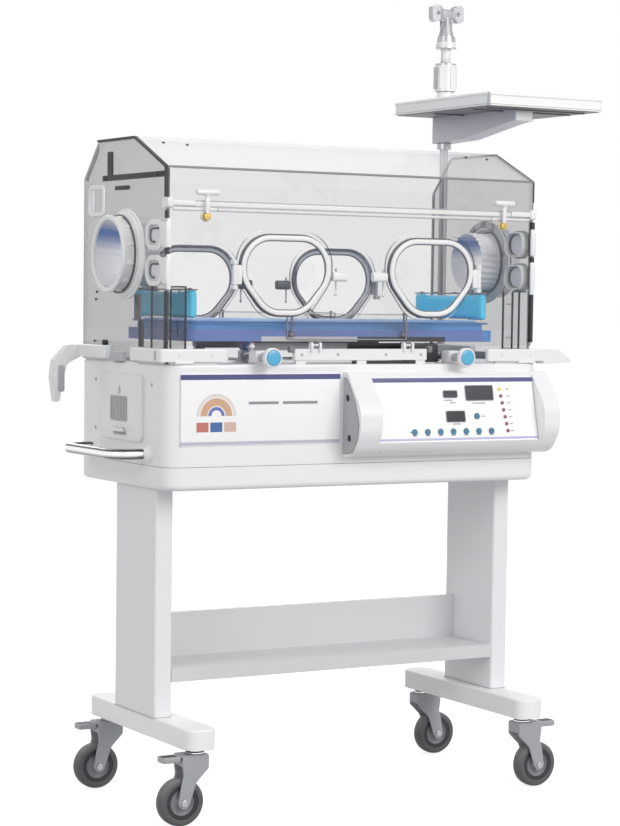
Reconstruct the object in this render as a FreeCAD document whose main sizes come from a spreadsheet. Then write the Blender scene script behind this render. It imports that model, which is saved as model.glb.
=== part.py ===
import FreeCAD
import Part
import Sketcher

import math
import os
from types import SimpleNamespace

# Infant incubator on a wheeled stand, in millimetres.
# X runs to the right, Y to the back and Z up. The origin is on the floor, under the middle of the base.

DIMENSIONS = {
    # Base cabinet
    "deck_height": 944,
    "cabinet_height": 260,
    "tier_height": 49,
    "base_ledge": 11,
    "base_depth": 442,
    "cabinet_corner": 45,
    "cabinet_wall": 5,
    "cabinet_edge": 6,
    "deck_sheet": 6,
    "deck_margin": 54,
    "deck_front_margin": 73,
    "deck_back_margin": 27,
    "air_slot_length": 70,
    "air_slot_width": 14,
    "air_slot_pitch": 29,
    "air_slot_margin": 20,
    # Stand
    "column_inset": 20,
    "column_width": 41,
    "column_front": -133,
    "column_depth": 194,
    "column_corner": 6,
    "column_wall": 3,
    "foot_inset": 21,
    "foot_width": 70,
    "foot_front": -293,
    "foot_length": 496,
    "foot_bottom": 160,
    "foot_height": 42,
    "foot_corner": 28,
    "shelf_front": -131,
    "shelf_rise": 73,
    "shelf_lip": 29,
    "shelf_back": 22,
    "shelf_back_height": 124,
    "shelf_sheet": 5,
    "shelf_flange": 18,
    # Casters
    "wheel_diameter": 100,
    "wheel_width": 30,
    "tyre_depth": 17,
    "axle_diameter": 10,
    "caster_trail": 34,
    "caster_front": -252,
    "caster_back": 160,
    "stem_diameter": 18,
    "stem_depth": 30,
    "neck_diameter": 40,
    "neck_height": 12,
    "fork_plate": 5,
    "fork_eye": 24,
    "crown_rise": 8,
    "pedal_width": 34,
    "pedal_length": 46,
    "pedal_thickness": 12,
    "pedal_pin": 6,
    # Hood
    "hood_half": 454,
    "hood_front": -193,
    "hood_back": 217,
    "hood_wall": 403,
    "hood_rise": 471,
    "roof_front": -41,
    "roof_back": 142,
    "rear_wall": 391,
    "front_sheet": 6,
    "end_sheet": 8,
    # Front door
    "door_sill": 38,
    "door_rise": 321,
    "door_gap": 1,
    "door_rail_inset": 114,
    "hinge_forward": 22,
    "hinge_rise": 40,
    "hinge_pin": 6,
    "hinge_eye": 12,
    "hinge_spacing": 115,
    "hinge_ear": 14,
    "hinge_lug": 5.6,
    "hinge_play": 0.4,
    "rail_half": 165,
    "rail_height": 24,
    "latch_inset": 86,
    "latch_drop": 18,
    "latch_stem": 49,
    "latch_bar": 52,
    "latch_thickness": 12,
    # Hand ports
    "port_spacing": 181,
    "port_level": 185,
    "rear_port_level": 167,
    "port_width": 204,
    "port_rise": 158,
    "port_foot": 92,
    "port_corner": 56,
    "port_rim": 13,
    "port_seat": 6,
    "port_pane": 8,
    "port_pin": 5,
    "port_knuckle": 22,
    "striker_width": 30,
    "striker_height": 18,
    # Iris ports
    "iris_level": 226,
    "iris_bore": 148,
    "iris_flange": 190,
    "iris_ring": 166,
    "iris_reach": 46,
    "iris_collar": 12,
    "sleeve_reach": 50,
    # Tube grommets
    "grommet_upper_level": 264,
    "grommet_lower_level": 191,
    "grommet_setback": 12,
    "grommet_length": 80,
    "grommet_rise": 64,
    "grommet_lip": 10,
    "grommet_wall": 6,
    # Corner mouldings
    "moulding_level": 5,
    "moulding_height": 27,
    "moulding_front_leg": 157,
    "moulding_side_leg": 149,
    "moulding_rear_leg": 157,
    "moulding_width": 15,
    "moulding_ledge": 14,
    "wing_reach": 66,
    "wing_drop": 100,
    # Bed
    "bed_end_gap": 72,
    "bed_depth": 304,
    "bed_level": 46,
    "bed_rim": 24,
    "bed_wall": 4,
    "bed_corner": 18,
    "mattress_rise": 47,
    "bolster_height": 62,
    "bolster_width": 26,
    "guard_half": 150,
    "guard_height": 56,
    "guard_sheet": 4,
    # Bed tilting gear
    "knob_spacing": 240,
    "knob_level": 14,
    "knob_diameter": 41,
    "knob_front": -262,
    "shaft_diameter": 12,
    "bearing_front": -208,
    "bearing_depth": 30,
    "post_spacing": 226,
    "post_line": -138,
    "post_diameter": 14,
    "post_length": 120,
    "pinion_radius": 10,
    "pinion_width": 10,
    "gear_cover_width": 78,
    "gear_cover_height": 42,
    "pivot_level": 34,
    "pivot_pin": 8,
    "pivot_eye": 18,
    "cradle_line": 105,
    "cradle_rail": 10,
    # Control housing
    "control_width": 513,
    "control_drop": 197,
    "control_height": 180,
    "control_bulge": 73,
    "panel_inner_margin": 54,
    "panel_outer_margin": 41,
    "panel_low": 31,
    "panel_height": 137,
    "panel_top_forward": 19,
    "panel_bottom_forward": 49,
    "panel_sheet": 3,
    # Water tank and push handles
    "side_middle": -12,
    "tank_width": 204,
    "tank_height": 140,
    "tank_drop": 164,
    "tank_length": 140,
    "tank_cover": 6,
    "tank_lap": 16,
    "handle_drop": 187,
    "handle_half": 125,
    "handle_reach": 75,
    "handle_diameter": 22,
    "handle_bend": 30,
    "handle_flare": 20,
    # Accessory pole, tray and hook
    "pole_reach": 30,
    "pole_setback": 17,
    "pole_diameter": 20,
    "pole_drop": 224,
    "pole_rise": 228,
    "bracket_upper_drop": 39,
    "bracket_lower_drop": 109,
    "bracket_height": 50,
    "bracket_depth": 80,
    "bracket_setback": 148,
    "collar_diameter": 51,
    "collar_height": 66,
    "arm_clearance": 39,
    "arm_height": 62,
    "arm_width": 48,
    "arm_length": 330,
    "arm_nose": 26,
    "tray_inboard": 129,
    "tray_outboard": 188,
    "tray_reach": 376,
    "tray_overhang": 24,
    "tray_rim": 30,
    "tray_sheet": 4,
    "rod_diameter": 16,
    "rod_depth": 293,
    "hook_half": 44,
    "hook_rise": 139,
    # Fan
    "fan_back": 20,
    "fan_diameter": 110,
    "fan_drop": 41,
    "fan_height": 27,
    "fan_shaft": 8,
    # Clearances
    "running_gap": 0.05,
    "seat_gap": 0.3,
}

os.makedirs("parts", exist_ok=True)
doc = FreeCAD.newDocument("infant_incubator")
sheet = doc.addObject("Spreadsheet::Sheet", "sizes")


class Size:
    """A length together with the sheet formula that gives it."""

    def __init__(self, formula, value):
        self.formula = formula
        self.value = value

    def __add__(self, other):
        other = as_size(other)
        return Size(f"({self.formula} + {other.formula})", self.value + other.value)

    __radd__ = __add__

    def __sub__(self, other):
        other = as_size(other)
        return Size(f"({self.formula} - {other.formula})", self.value - other.value)

    def __rsub__(self, other):
        return as_size(other) - self

    def __mul__(self, other):
        other = as_size(other)
        return Size(f"({self.formula} * {other.formula})", self.value * other.value)

    __rmul__ = __mul__

    def __truediv__(self, other):
        other = as_size(other)
        return Size(f"({self.formula} / {other.formula})", self.value / other.value)

    def __neg__(self):
        return Size(f"(-1 * {self.formula})", -self.value)

    def __lt__(self, other):
        return self.value < other.value


def as_size(number):
    if isinstance(number, Size):
        return number
    return Size(f"{float(number):.6f}", float(number))


def root(size):
    return Size(f"sqrt({size.formula})", math.sqrt(size.value))


def fill_sheet():
    for row, (name, number) in enumerate(DIMENSIONS.items(), start=1):
        sheet.set(f"A{row}", name)
        sheet.set(f"B{row}", str(number))
        sheet.setAlias(f"B{row}", name)
    doc.recompute()
    return SimpleNamespace(**{name: Size(f"sizes.{name}", float(sheet.get(name))) for name in DIMENSIONS})


d = fill_sheet()

# Places that follow from the sizes above

half_width = d.hood_half + d.base_ledge
half_depth = d.base_depth / 2
base_front = -half_depth
d.base_bottom = d.deck_height - d.cabinet_height
d.column_outer = half_width - d.column_inset
d.foot_outer = half_width - d.foot_inset
d.shelf_bottom = d.foot_bottom + d.foot_height + d.shelf_rise
d.hood_shoulder = d.deck_height + d.hood_wall
d.hood_rear_shoulder = d.deck_height + d.rear_wall
d.hood_top = d.deck_height + d.hood_rise
d.door_bottom = d.deck_height + d.door_sill
d.door_top = d.deck_height + d.door_rise
d.hinge_height = d.deck_height + d.hinge_rise
d.port_height = d.deck_height + d.port_level
d.rear_port_height = d.deck_height + d.rear_port_level
d.iris_height = d.deck_height + d.iris_level
d.grommet_upper = d.deck_height + d.grommet_upper_level
d.grommet_lower = d.deck_height + d.grommet_lower_level
d.grommet_front = d.hood_front + d.grommet_setback
d.grommet_back = d.grommet_front + d.grommet_length
d.bed_half = d.hood_half - d.bed_end_gap
d.bed_bottom = d.deck_height + d.bed_level
d.mattress_top = d.bed_bottom + d.mattress_rise
d.knob_height = d.deck_height + d.knob_level
d.pivot_height = d.deck_height + d.pivot_level
d.control_right = half_width
d.control_left = half_width - d.control_width
d.control_bottom = d.deck_height - d.control_drop
d.panel_left = d.control_left + d.panel_inner_margin
d.panel_right = d.control_right - d.panel_outer_margin
d.panel_bottom = d.control_bottom + d.panel_low
d.panel_top = d.panel_bottom + d.panel_height
d.tank_bottom = d.deck_height - d.tank_drop
d.handle_height = d.deck_height - d.handle_drop
d.pole_across = half_width + d.pole_reach
d.pole_back = half_depth + d.pole_setback
d.pole_bottom = d.deck_height - d.pole_drop
d.pole_top = d.hood_top + d.pole_rise
d.collar_bottom = d.pole_top - d.collar_height
d.arm_bottom = d.hood_top + d.arm_clearance
d.tray_bottom = d.arm_bottom + d.arm_height
d.arm_front = d.pole_back - d.arm_length
d.tray_left = d.pole_across - d.tray_inboard
d.tray_right = d.pole_across + d.tray_outboard
d.tray_front = d.pole_back - d.tray_reach
d.tray_back = d.pole_back + d.tray_overhang
d.hook_top = d.pole_top + d.hook_rise
d.fan_bottom = d.deck_height - d.fan_drop

ALONG = {
    "x": FreeCAD.Rotation(FreeCAD.Vector(0, 1, 0), 90),
    "y": FreeCAD.Rotation(FreeCAD.Vector(1, 0, 0), -90),
    "z": FreeCAD.Rotation(),
}
PLANE = {"x": "YZ_Plane", "y": "XZ_Plane", "z": "XY_Plane"}
nodes = []


# General forms

def bind(piece, name, size):
    piece.setExpression(name, as_size(size).formula)


def place(piece, x, y, z, turn=FreeCAD.Rotation()):
    piece.Placement = FreeCAD.Placement(FreeCAD.Vector(), turn)
    for axis, size in zip("xyz", (x, y, z)):
        bind(piece, f"Placement.Base.{axis}", size)


def ordered(first, second):
    return sorted((as_size(first), as_size(second)))


def block(name, x, y, z):
    piece = doc.addObject("Part::Box", name)
    (left, right), (front, back), (low, high) = ordered(*x), ordered(*y), ordered(*z)
    bind(piece, "Length", right - left)
    bind(piece, "Width", back - front)
    bind(piece, "Height", high - low)
    place(piece, left, front, low)
    return piece


def rod(name, axis, centre, span, diameter):
    """A round bar along axis, over span, with centre giving the two other places in X, Y, Z order."""
    piece = doc.addObject("Part::Cylinder", name)
    low, high = ordered(*span)
    bind(piece, "Radius", as_size(diameter) / 2)
    bind(piece, "Height", high - low)
    start = list(centre)
    start.insert("xyz".index(axis), low)
    place(piece, *start, ALONG[axis])
    return piece


def taper(name, axis, centre, span, low_diameter, high_diameter):
    piece = doc.addObject("Part::Cone", name)
    low, high = ordered(*span)
    bind(piece, "Radius1", as_size(low_diameter) / 2)
    bind(piece, "Radius2", as_size(high_diameter) / 2)
    bind(piece, "Height", high - low)
    start = list(centre)
    start.insert("xyz".index(axis), low)
    place(piece, *start, ALONG[axis])
    return piece


def fuse(name, *pieces):
    joined = doc.addObject("Part::MultiFuse", name)
    joined.Shapes = list(pieces)
    joined.Refine = True
    return joined


def cut(name, base, *tools):
    result = doc.addObject("Part::Cut", name)
    result.Base = base
    result.Tool = tools[0] if len(tools) == 1 else fuse(f"{name}_tools", *tools)
    result.Refine = True
    return result


def group(name, *pieces):
    held = doc.addObject("Part::Compound", name)
    held.Links = list(pieces)
    return held


def mirrored(name, source):
    """The same piece on the other side of the YZ plane."""
    copy = doc.addObject("Part::Mirroring", name)
    copy.Source = source
    copy.Normal = FreeCAD.Vector(1, 0, 0)
    copy.Base = FreeCAD.Vector(0, 0, 0)
    return copy


def outline_sketch(body, name, axis, offset, points):
    sketch = body.newObject("Sketcher::SketchObject", name)
    plane = next(item for item in body.Origin.OriginFeatures if item.Role == PLANE[axis])
    sketch.AttachmentSupport = [(plane, "")]
    sketch.MapMode = "FlatFace"
    bind(sketch, "AttachmentOffset.Base.z", offset)
    corners = [(as_size(u), as_size(v)) for u, v in points]
    spots = [FreeCAD.Vector(u.value, v.value, 0) for u, v in corners]
    for number, spot in enumerate(spots):
        sketch.addGeometry(Part.LineSegment(spot, spots[(number + 1) % len(spots)]), False)
    for number in range(len(spots)):
        following = (number + 1) % len(spots)
        sketch.addConstraint(Sketcher.Constraint("Coincident", number, 2, following, 1))
    for number, (u, v) in enumerate(corners):
        for kind, size in (("DistanceX", u), ("DistanceY", v)):
            index = sketch.addConstraint(Sketcher.Constraint(kind, -1, 1, number, 1, size.value))
            sketch.setExpression(f"Constraints[{index}]", size.formula)
    return sketch


def pad(body, name, axis, points, span, centre=(0, 0)):
    """Pads an outline onto the body; its points are measured from centre."""
    low, high = ordered(*span)
    offset = -high if axis == "y" else low
    sketch = outline_sketch(body, f"{name}_outline", axis, offset, points)
    for letter, size in zip("xy", centre):
        bind(sketch, f"AttachmentOffset.Base.{letter}", size)
    feature = body.newObject("PartDesign::Pad", f"{name}_pad")
    feature.Profile = sketch
    bind(feature, "Length", high - low)
    sketch.Visibility = False
    return feature


def slab(name, axis, points, span, centre=(0, 0)):
    """A body padded along axis over span; points are the outline's two other places in X, Y, Z order."""
    body = doc.addObject("PartDesign::Body", name)
    pad(body, name, axis, points, span, centre)
    return body


def patterned(kind, body, feature, axis, length, count):
    """Repeats a feature of the body round or along an axis of its sketch."""
    pattern = body.newObject(f"PartDesign::{kind}", f"{feature.Name}_row")
    pattern.Originals = [feature]
    sketch = feature.Profile[0]
    if kind == "PolarPattern":
        pattern.Axis = (sketch, [axis])
    else:
        pattern.Direction = (sketch, [axis])
        bind(pattern, "Length", length)
    pattern.Occurrences = count
    body.Tip = pattern
    return body


def round_edges(body, radius, wanted):
    doc.recompute()
    base = body.Tip
    chosen = [f"Edge{number}" for number, edge in enumerate(base.Shape.Edges, start=1) if wanted(edge)]
    fillet = body.newObject("PartDesign::Fillet", f"{base.Name}_round")
    fillet.Base = (base, chosen)
    bind(fillet, "Radius", radius)
    return body


def runs_along(axis):
    direction = FreeCAD.Vector(*[float(letter == axis) for letter in "xyz"])

    def wanted(edge):
        if not isinstance(edge.Curve, Part.Line):
            return False
        return abs(abs(edge.Curve.Direction.dot(direction)) - 1) < 1e-6

    return wanted


def lies_at(axis, size, along=None):
    """Edges whose ends both lie at the given place on axis, and that run along another one if named."""
    number = "xyz".index(axis)

    def wanted(edge):
        level = all(abs(corner.Point[number] - size.value) < 1e-4 for corner in edge.Vertexes)
        return level and (along is None or runs_along(along)(edge))

    return wanted


def corners_of(x, y):
    (left, right), (front, back) = ordered(*x), ordered(*y)
    return [(left, front), (right, front), (right, back), (left, back)]


def rounded_block(name, axis, x, y, z, radius):
    """A block whose four edges along axis are rounded."""
    across = [pair for letter, pair in zip("xyz", (x, y, z)) if letter != axis]
    span = (x, y, z)["xyz".index(axis)]
    return round_edges(slab(name, axis, corners_of(*across), span), radius, runs_along(axis))


def inset(points, distance):
    """The outline moved inwards by distance; points run anticlockwise."""
    corners = [(as_size(u), as_size(v)) for u, v in points]
    moved = []
    for number, (u, v) in enumerate(corners):
        before = corners[number - 1]
        after = corners[(number + 1) % len(corners)]
        normals = []
        for (u1, v1), (u2, v2) in ((before, (u, v)), ((u, v), after)):
            length = root((u2 - u1) * (u2 - u1) + (v2 - v1) * (v2 - v1))
            normals.append(((v1 - v2) / length, (u2 - u1) / length))
        (a, b), (e, f) = normals
        share = distance / (a * e + b * f + 1)
        moved.append((u + (a + e) * share, v + (b + f) * share))
    return moved


def node(name, piece):
    piece.Label = name
    nodes.append(piece)
    return piece


# Base cabinet

tier_top = d.base_bottom + d.tier_height
tank_body_width = d.tank_width - 2 * d.tank_lap
tank_floor = d.tank_bottom + 10


def cabinet_block(name, shrink, low, high):
    x = (shrink - half_width, half_width - shrink)
    y = (shrink - half_depth, half_depth - shrink)
    return rounded_block(name, "z", x, y, (low, high), d.cabinet_corner - shrink)


def base_tray():
    outer = cabinet_block("tray_outer", as_size(0), d.base_bottom, tier_top)
    round_edges(outer, d.cabinet_edge * 2, lies_at("z", d.base_bottom))
    inner = cabinet_block("tray_inner", d.cabinet_wall, d.base_bottom + d.cabinet_wall, tier_top)
    shell = cut("tray_shell", outer, inner)
    floor = d.base_bottom + d.cabinet_wall
    runners = []
    for number, sign in enumerate((-1, 1)):
        middle = d.side_middle + sign * (tank_body_width / 2 - 12)
        x = (d.cabinet_wall + 1 - half_width, d.tank_length + 20 - half_width)
        z = (floor, tank_floor - d.seat_gap)
        runners.append(block(f"tank_runner_{number}", x, (middle - 4, middle + 4), z))
    motor = rod("fan_motor", "z", (0, d.fan_back), (floor, d.fan_bottom - 3), d.fan_diameter * 0.6)
    shaft = rod(
        "fan_motor_shaft", "z", (0, d.fan_back), (floor, d.fan_bottom + d.fan_height - 4), d.fan_shaft,
    )
    node("base_tray", fuse("base_tray_body", shell, *runners, motor, shaft))


def base_housing():
    outer = cabinet_block("housing_outer", as_size(0), tier_top, d.deck_height)
    round_edges(outer, d.cabinet_edge, lies_at("z", d.deck_height))
    inner = cabinet_block("housing_inner", d.cabinet_wall, tier_top, d.deck_height - d.cabinet_wall)
    tank_half = tank_body_width / 2 + 3
    mouth = block(
        "tank_mouth",
        (-half_width - 1, d.cabinet_wall + 1 - half_width),
        (d.side_middle - tank_half, d.side_middle + tank_half),
        (tank_floor - 3, d.tank_bottom + d.tank_height - 8),
    )
    deck = (d.deck_height - d.cabinet_wall - 1, d.deck_height + 1)
    holes = [rod("fan_mouth", "z", (0, d.fan_back), deck, d.fan_diameter + 24)]
    for name, sign in (("left", -1), ("right", 1)):
        holes.append(rod(
            f"post_hole_{name}", "z", (sign * d.post_spacing, d.post_line), deck, d.post_diameter + 4,
        ))
    node("base_housing", cut("base_housing_body", outer, inner, mouth, *holes))


def deck_plate():
    """Inner floor of the cabin with warm air slots at both ends and the fan intake in the middle."""
    half = d.hood_half - d.deck_margin
    y = (d.hood_front + d.deck_front_margin, d.hood_back - d.deck_back_margin)
    top = d.deck_height + d.deck_sheet
    plate = rounded_block("deck_plate_sheet", "z", (-half, half), y, (d.deck_height, top), 20)
    through = (d.deck_height - 1, top + 1)
    intake = d.fan_diameter + 10
    tools = [rod("intake_hole", "z", (0, d.fan_back), through, intake)]
    slot_end = half - d.air_slot_margin
    for sign in (-1, 1):
        for number in range(9):
            y = d.fan_back + (number - 4) * d.air_slot_pitch
            x = (sign * slot_end, sign * (slot_end - d.air_slot_length))
            slot = (y - d.air_slot_width / 2, y + d.air_slot_width / 2)
            tools.append(block(f"air_slot_{number}", x, slot, through))
    grille = []
    for number, turn in enumerate((0, 60, 120)):
        bar = doc.addObject("Part::Box", f"intake_bar_{number}")
        bind(bar, "Length", intake + 4)
        bar.Width = 5
        bind(bar, "Height", d.deck_sheet)
        spin = FreeCAD.Rotation(FreeCAD.Vector(0, 0, 1), turn)
        start = spin.multVec(FreeCAD.Vector(-0.5, 0, 0))
        lean = spin.multVec(FreeCAD.Vector(0, -2.5, 0))
        place(
            bar, (intake + 4) * start.x + lean.x,
            d.fan_back + (intake + 4) * start.y + lean.y, d.deck_height, spin,
        )
        grille.append(bar)
    node("deck_plate", fuse("deck_plate_body", cut("deck_slotted", plate, *tools), *grille))


# Stand

def stand():
    x = (d.column_outer - d.column_width, d.column_outer)
    y = (d.column_front, d.column_front + d.column_depth)
    column_foot = d.foot_bottom + d.foot_height
    outer = rounded_block("column_bar", "z", x, y, (column_foot, d.base_bottom), d.column_corner)
    wall = d.column_wall
    inner_x = (d.column_outer - d.column_width + wall, d.column_outer - wall)
    inner_y = (d.column_front + wall, d.column_front + d.column_depth - wall)
    hollow = rounded_block(
        "column_hollow", "z", inner_x, inner_y, (column_foot - 1, d.base_bottom + 1), d.column_corner - wall,
    )
    column = cut("column_tube", outer, hollow)
    node("column_right", column)
    node("column_left", mirrored("column_left_bar", column))
    x = (d.foot_outer - d.foot_width, d.foot_outer)
    y = (d.foot_front, d.foot_front + d.foot_length)
    bar = rounded_block("foot_bar", "z", x, y, (d.foot_bottom, column_foot), d.foot_corner)
    round_edges(bar, 4, lies_at("z", column_foot))
    middle = d.foot_outer - d.foot_width / 2
    stem_hole = (d.foot_bottom - 1, d.foot_bottom + d.stem_depth + 1)
    bore = d.stem_diameter + 2 * d.running_gap
    holes = [rod(f"stem_hole_{number}", "z", (middle, y), stem_hole, bore)
             for number, y in enumerate((d.caster_front, d.caster_back))]
    foot = cut("foot_drilled", bar, *holes)
    node("foot_right", foot)
    node("foot_left", mirrored("foot_left_bar", foot))


def storage_shelf():
    low = d.shelf_bottom
    front = d.shelf_front
    back = d.shelf_back
    skin = d.shelf_sheet
    top = low + d.shelf_lip
    back_top = low + d.shelf_back_height
    outline = [
        (front, low), (front + skin, low), (front + skin, top - skin), (back + skin, top - skin),
        (back + skin, back_top - skin), (back + d.shelf_flange, back_top - skin),
        (back + d.shelf_flange, back_top), (back, back_top), (back, top), (front, top),
    ]
    inner = d.column_outer - d.column_width
    node("storage_shelf", slab("shelf_sheet_body", "x", outline, (-inner, inner)))


# Casters

def caster(name, side, y):
    """One braked swivel caster that trails outwards; side is -1 at the left and 1 at the right."""
    x = side * (d.foot_outer - d.foot_width / 2)
    centre = x + side * d.caster_trail
    height = d.wheel_diameter / 2
    cheek = d.wheel_width / 2 + 2
    outer_face = cheek + d.fork_plate
    fork_top = d.foot_bottom - d.neck_height
    crown_low = d.wheel_diameter + d.crown_rise
    eye_half = d.fork_eye / 2
    pedal_x = centre
    pedal_z = fork_top - d.crown_rise
    inner_edge = x - side * (d.caster_trail - 10)
    outline = [
        (centre - side * eye_half, height), (centre + side * eye_half, height),
        (centre + side * eye_half * 0.6, crown_low * 0.85), (pedal_x + side * 6, pedal_z - 8),
        (pedal_x + side * 6, fork_top), (inner_edge, fork_top),
        (inner_edge, crown_low + 4), (centre - side * eye_half * 2, crown_low * 0.85),
    ]
    if side < 0:
        outline.reverse()
    cheeks = []
    for number, sign in enumerate((-1, 1)):
        faces = (y + sign * cheek, y + sign * outer_face)
        plate = slab(f"{name}_cheek_{number}", "y", outline, faces)
        boss = rod(f"{name}_eye_{number}", "y", (centre, height), faces, d.fork_eye)
        cheeks += [plate, boss]
    crown = block(
        f"{name}_crown", (inner_edge, x + side * 10),
        (y - outer_face, y + outer_face), (crown_low + 6, fork_top),
    )
    neck = rod(f"{name}_neck", "z", (x, y), (fork_top, d.foot_bottom - d.seat_gap), d.neck_diameter)
    stem = rod(f"{name}_stem", "z", (x, y), (fork_top, d.foot_bottom + d.stem_depth), d.stem_diameter)
    axle = rod(
        f"{name}_axle", "y", (centre, height), (y - outer_face - 3, y + outer_face + 3), d.axle_diameter,
    )
    pin = rod(f"{name}_pedal_pin", "y", (pedal_x, pedal_z), (y - outer_face, y + outer_face), d.pedal_pin)
    node(f"{name}_fork", fuse(f"{name}_fork_body", *cheeks, crown, neck, stem, axle, pin))

    half = d.wheel_width / 2
    rim = d.wheel_diameter - 2 * d.tyre_depth
    tread = rod(f"{name}_tread", "y", (centre, height), (y - half * 0.6, y + half * 0.6), d.wheel_diameter)
    shoulders = [taper(
        f"{name}_shoulder_{number}", "y", (centre, height), (y + sign * half * 0.6, y + sign * half),
        d.wheel_diameter * (1 if sign > 0 else 0.9), d.wheel_diameter * (0.9 if sign > 0 else 1),
    ) for number, sign in enumerate((-1, 1))]
    core = rod(f"{name}_core", "y", (centre, height), (y - half - 1, y + half + 1), rim)
    tyre = cut(f"{name}_tyre", fuse(f"{name}_tyre_solid", tread, *shoulders), core)
    disc = rod(f"{name}_disc", "y", (centre, height), (y - half + 5, y + half - 5), rim)
    boss = rod(f"{name}_boss", "y", (centre, height), (y - half - 1, y + half + 1), d.fork_eye + 2)
    bore = rod(
        f"{name}_bore", "y", (centre, height),
        (y - half - 2, y + half + 2), d.axle_diameter + 2 * d.running_gap,
    )
    hub = cut(f"{name}_hub", fuse(f"{name}_hub_solid", disc, boss), bore)
    node(f"{name}_wheel", group(f"{name}_wheel_body", tyre, hub))

    pedal_y = (y - d.pedal_width / 2 + 1, y + d.pedal_width / 2 - 1)
    knuckle = rod(f"{name}_knuckle", "y", (pedal_x, pedal_z), pedal_y, d.pedal_thickness)
    profile = [
        (pedal_x, pedal_z - d.pedal_thickness / 2),
        (pedal_x + side * d.pedal_length, pedal_z - d.pedal_thickness * 0.35),
        (pedal_x + side * d.pedal_length, pedal_z + d.pedal_thickness / 2),
        (pedal_x, pedal_z + d.pedal_thickness / 2),
    ]
    if side < 0:
        profile.reverse()
    plate = slab(f"{name}_pedal_plate", "y", profile, pedal_y)
    eye = rod(
        f"{name}_pedal_eye", "y", (pedal_x, pedal_z),
        (y - d.pedal_width, y + d.pedal_width), d.pedal_pin + 2 * d.running_gap,
    )
    hollow = block(
        f"{name}_pedal_hollow", (pedal_x + side * 14, pedal_x + side * (d.pedal_length - 5)),
        (y - d.pedal_width / 2 + 6, y + d.pedal_width / 2 - 6), (pedal_z + 2, pedal_z + d.pedal_thickness),
    )
    node(f"{name}_brake", cut(f"{name}_brake_body", fuse(f"{name}_brake_solid", knuckle, plate), eye, hollow))


def casters():
    for side_name, side in (("left", -1), ("right", 1)):
        for end_name, y in (("front", d.caster_front), ("rear", d.caster_back)):
            caster(f"caster_{end_name}_{side_name}", side, y)


# Control housing

def control_housing():
    low = d.control_bottom
    high = low + d.control_height
    front = base_front - d.control_bulge
    outline = [
        (base_front, high), (base_front - 15, high), (front, low + d.control_height * 0.57),
        (front, low + d.control_height * 0.29), (base_front - d.control_bulge * 0.56, low), (base_front, low),
    ]
    shell = slab("control_shell", "x", outline, (d.control_left, d.control_right))
    bends = outline[2:5]

    def at_bend(edge):
        start = edge.Vertexes[0].Point
        near = any(abs(start.y - u.value) < 1e-4 and abs(start.z - v.value) < 1e-4 for u, v in bends)
        return near and runs_along("x")(edge)

    round_edges(shell, d.control_bulge * 0.75, at_bend)
    window = [
        (base_front - d.panel_top_forward, d.panel_top),
        (base_front - d.panel_bottom_forward, d.panel_bottom),
        (front - 10, d.panel_bottom), (front - 10, d.panel_top + 20),
        (base_front - d.panel_top_forward, d.panel_top + 20),
    ]
    recess = slab("control_recess", "x", window, (d.panel_left, d.panel_right))
    node("control_housing", cut("control_housing_body", shell, recess))


panel_slope = (d.panel_bottom_forward - d.panel_top_forward) / (d.panel_top - d.panel_bottom)
panel_tilt = math.degrees(math.atan(panel_slope.value))


def panel_y(z, proud):
    """The panel's place in Y at height z, with proud counted outwards from its back."""
    return base_front - d.panel_top_forward - (d.panel_top - z) * panel_slope - proud


def control_panel():
    skin = d.panel_sheet
    outline = [
        (panel_y(d.panel_top, 0), d.panel_top), (panel_y(d.panel_bottom, 0), d.panel_bottom),
        (panel_y(d.panel_bottom, skin), d.panel_bottom), (panel_y(d.panel_top, skin), d.panel_top),
    ]
    node("control_panel", slab("control_panel_sheet", "x", outline, (d.panel_left + 2, d.panel_right - 2)))


def on_panel(name, x, z, width, height, proud):
    """A flat plate on the sloping panel, centred at x and z."""
    plate = doc.addObject("Part::Box", name)
    bind(plate, "Length", width)
    bind(plate, "Width", proud)
    bind(plate, "Height", height)
    turn = FreeCAD.Rotation(FreeCAD.Vector(1, 0, 0), -panel_tilt)
    low = z - as_size(height) / 2
    forward = d.panel_sheet + proud * root(panel_slope * panel_slope + 1)
    place(plate, x - as_size(width) / 2, panel_y(low, forward), low, turn)
    return plate


def key_cap(name, x, z, diameter, proud):
    cap = doc.addObject("Part::Cylinder", name)
    bind(cap, "Radius", as_size(diameter) / 2)
    bind(cap, "Height", proud)
    turn = FreeCAD.Rotation(FreeCAD.Vector(1, 0, 0), 90 - panel_tilt)
    place(cap, x, panel_y(z, d.panel_sheet), z, turn)
    return cap


def panel_fittings():
    """Displays, keys and lamps, placed in shares of the panel's width and height from its top right."""
    width = d.panel_right - d.panel_left
    height = d.panel_height
    displays = [
        on_panel(
            "display_small", d.panel_right - width * 0.531,
            d.panel_top - height * 0.263, width * 0.081, height * 0.1, 1.5,
        ),
        on_panel(
            "display_large", d.panel_right - width * 0.35,
            d.panel_top - height * 0.248, width * 0.167, height * 0.226, 1.5,
        ),
        on_panel(
            "display_medium", d.panel_right - width * 0.51,
            d.panel_top - height * 0.613, width * 0.11, height * 0.16, 1.5,
        ),
    ]
    node("display_windows", group("display_set", *displays))
    key = height * 0.1
    keys = [key_cap(
        f"key_{number}", d.panel_right - width * (0.77 - number * 0.079),
        d.panel_top - height * 0.847, key, 2,
    ) for number in range(7)]
    keys.append(key_cap("key_set", d.panel_right - width * 0.378, d.panel_top - height * 0.613, key, 2))
    node("panel_keys", group("key_caps", *keys))
    lamps = [key_cap(
        f"lamp_{number}", d.panel_right - width * (0.22 - number * 0.0048),
        d.panel_top - height * (0.19 + number * 0.11),
        height * 0.058, 1.5) for number in range(7)]
    node("status_lamps", group("lamp_set", *lamps))


# Push handles

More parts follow.
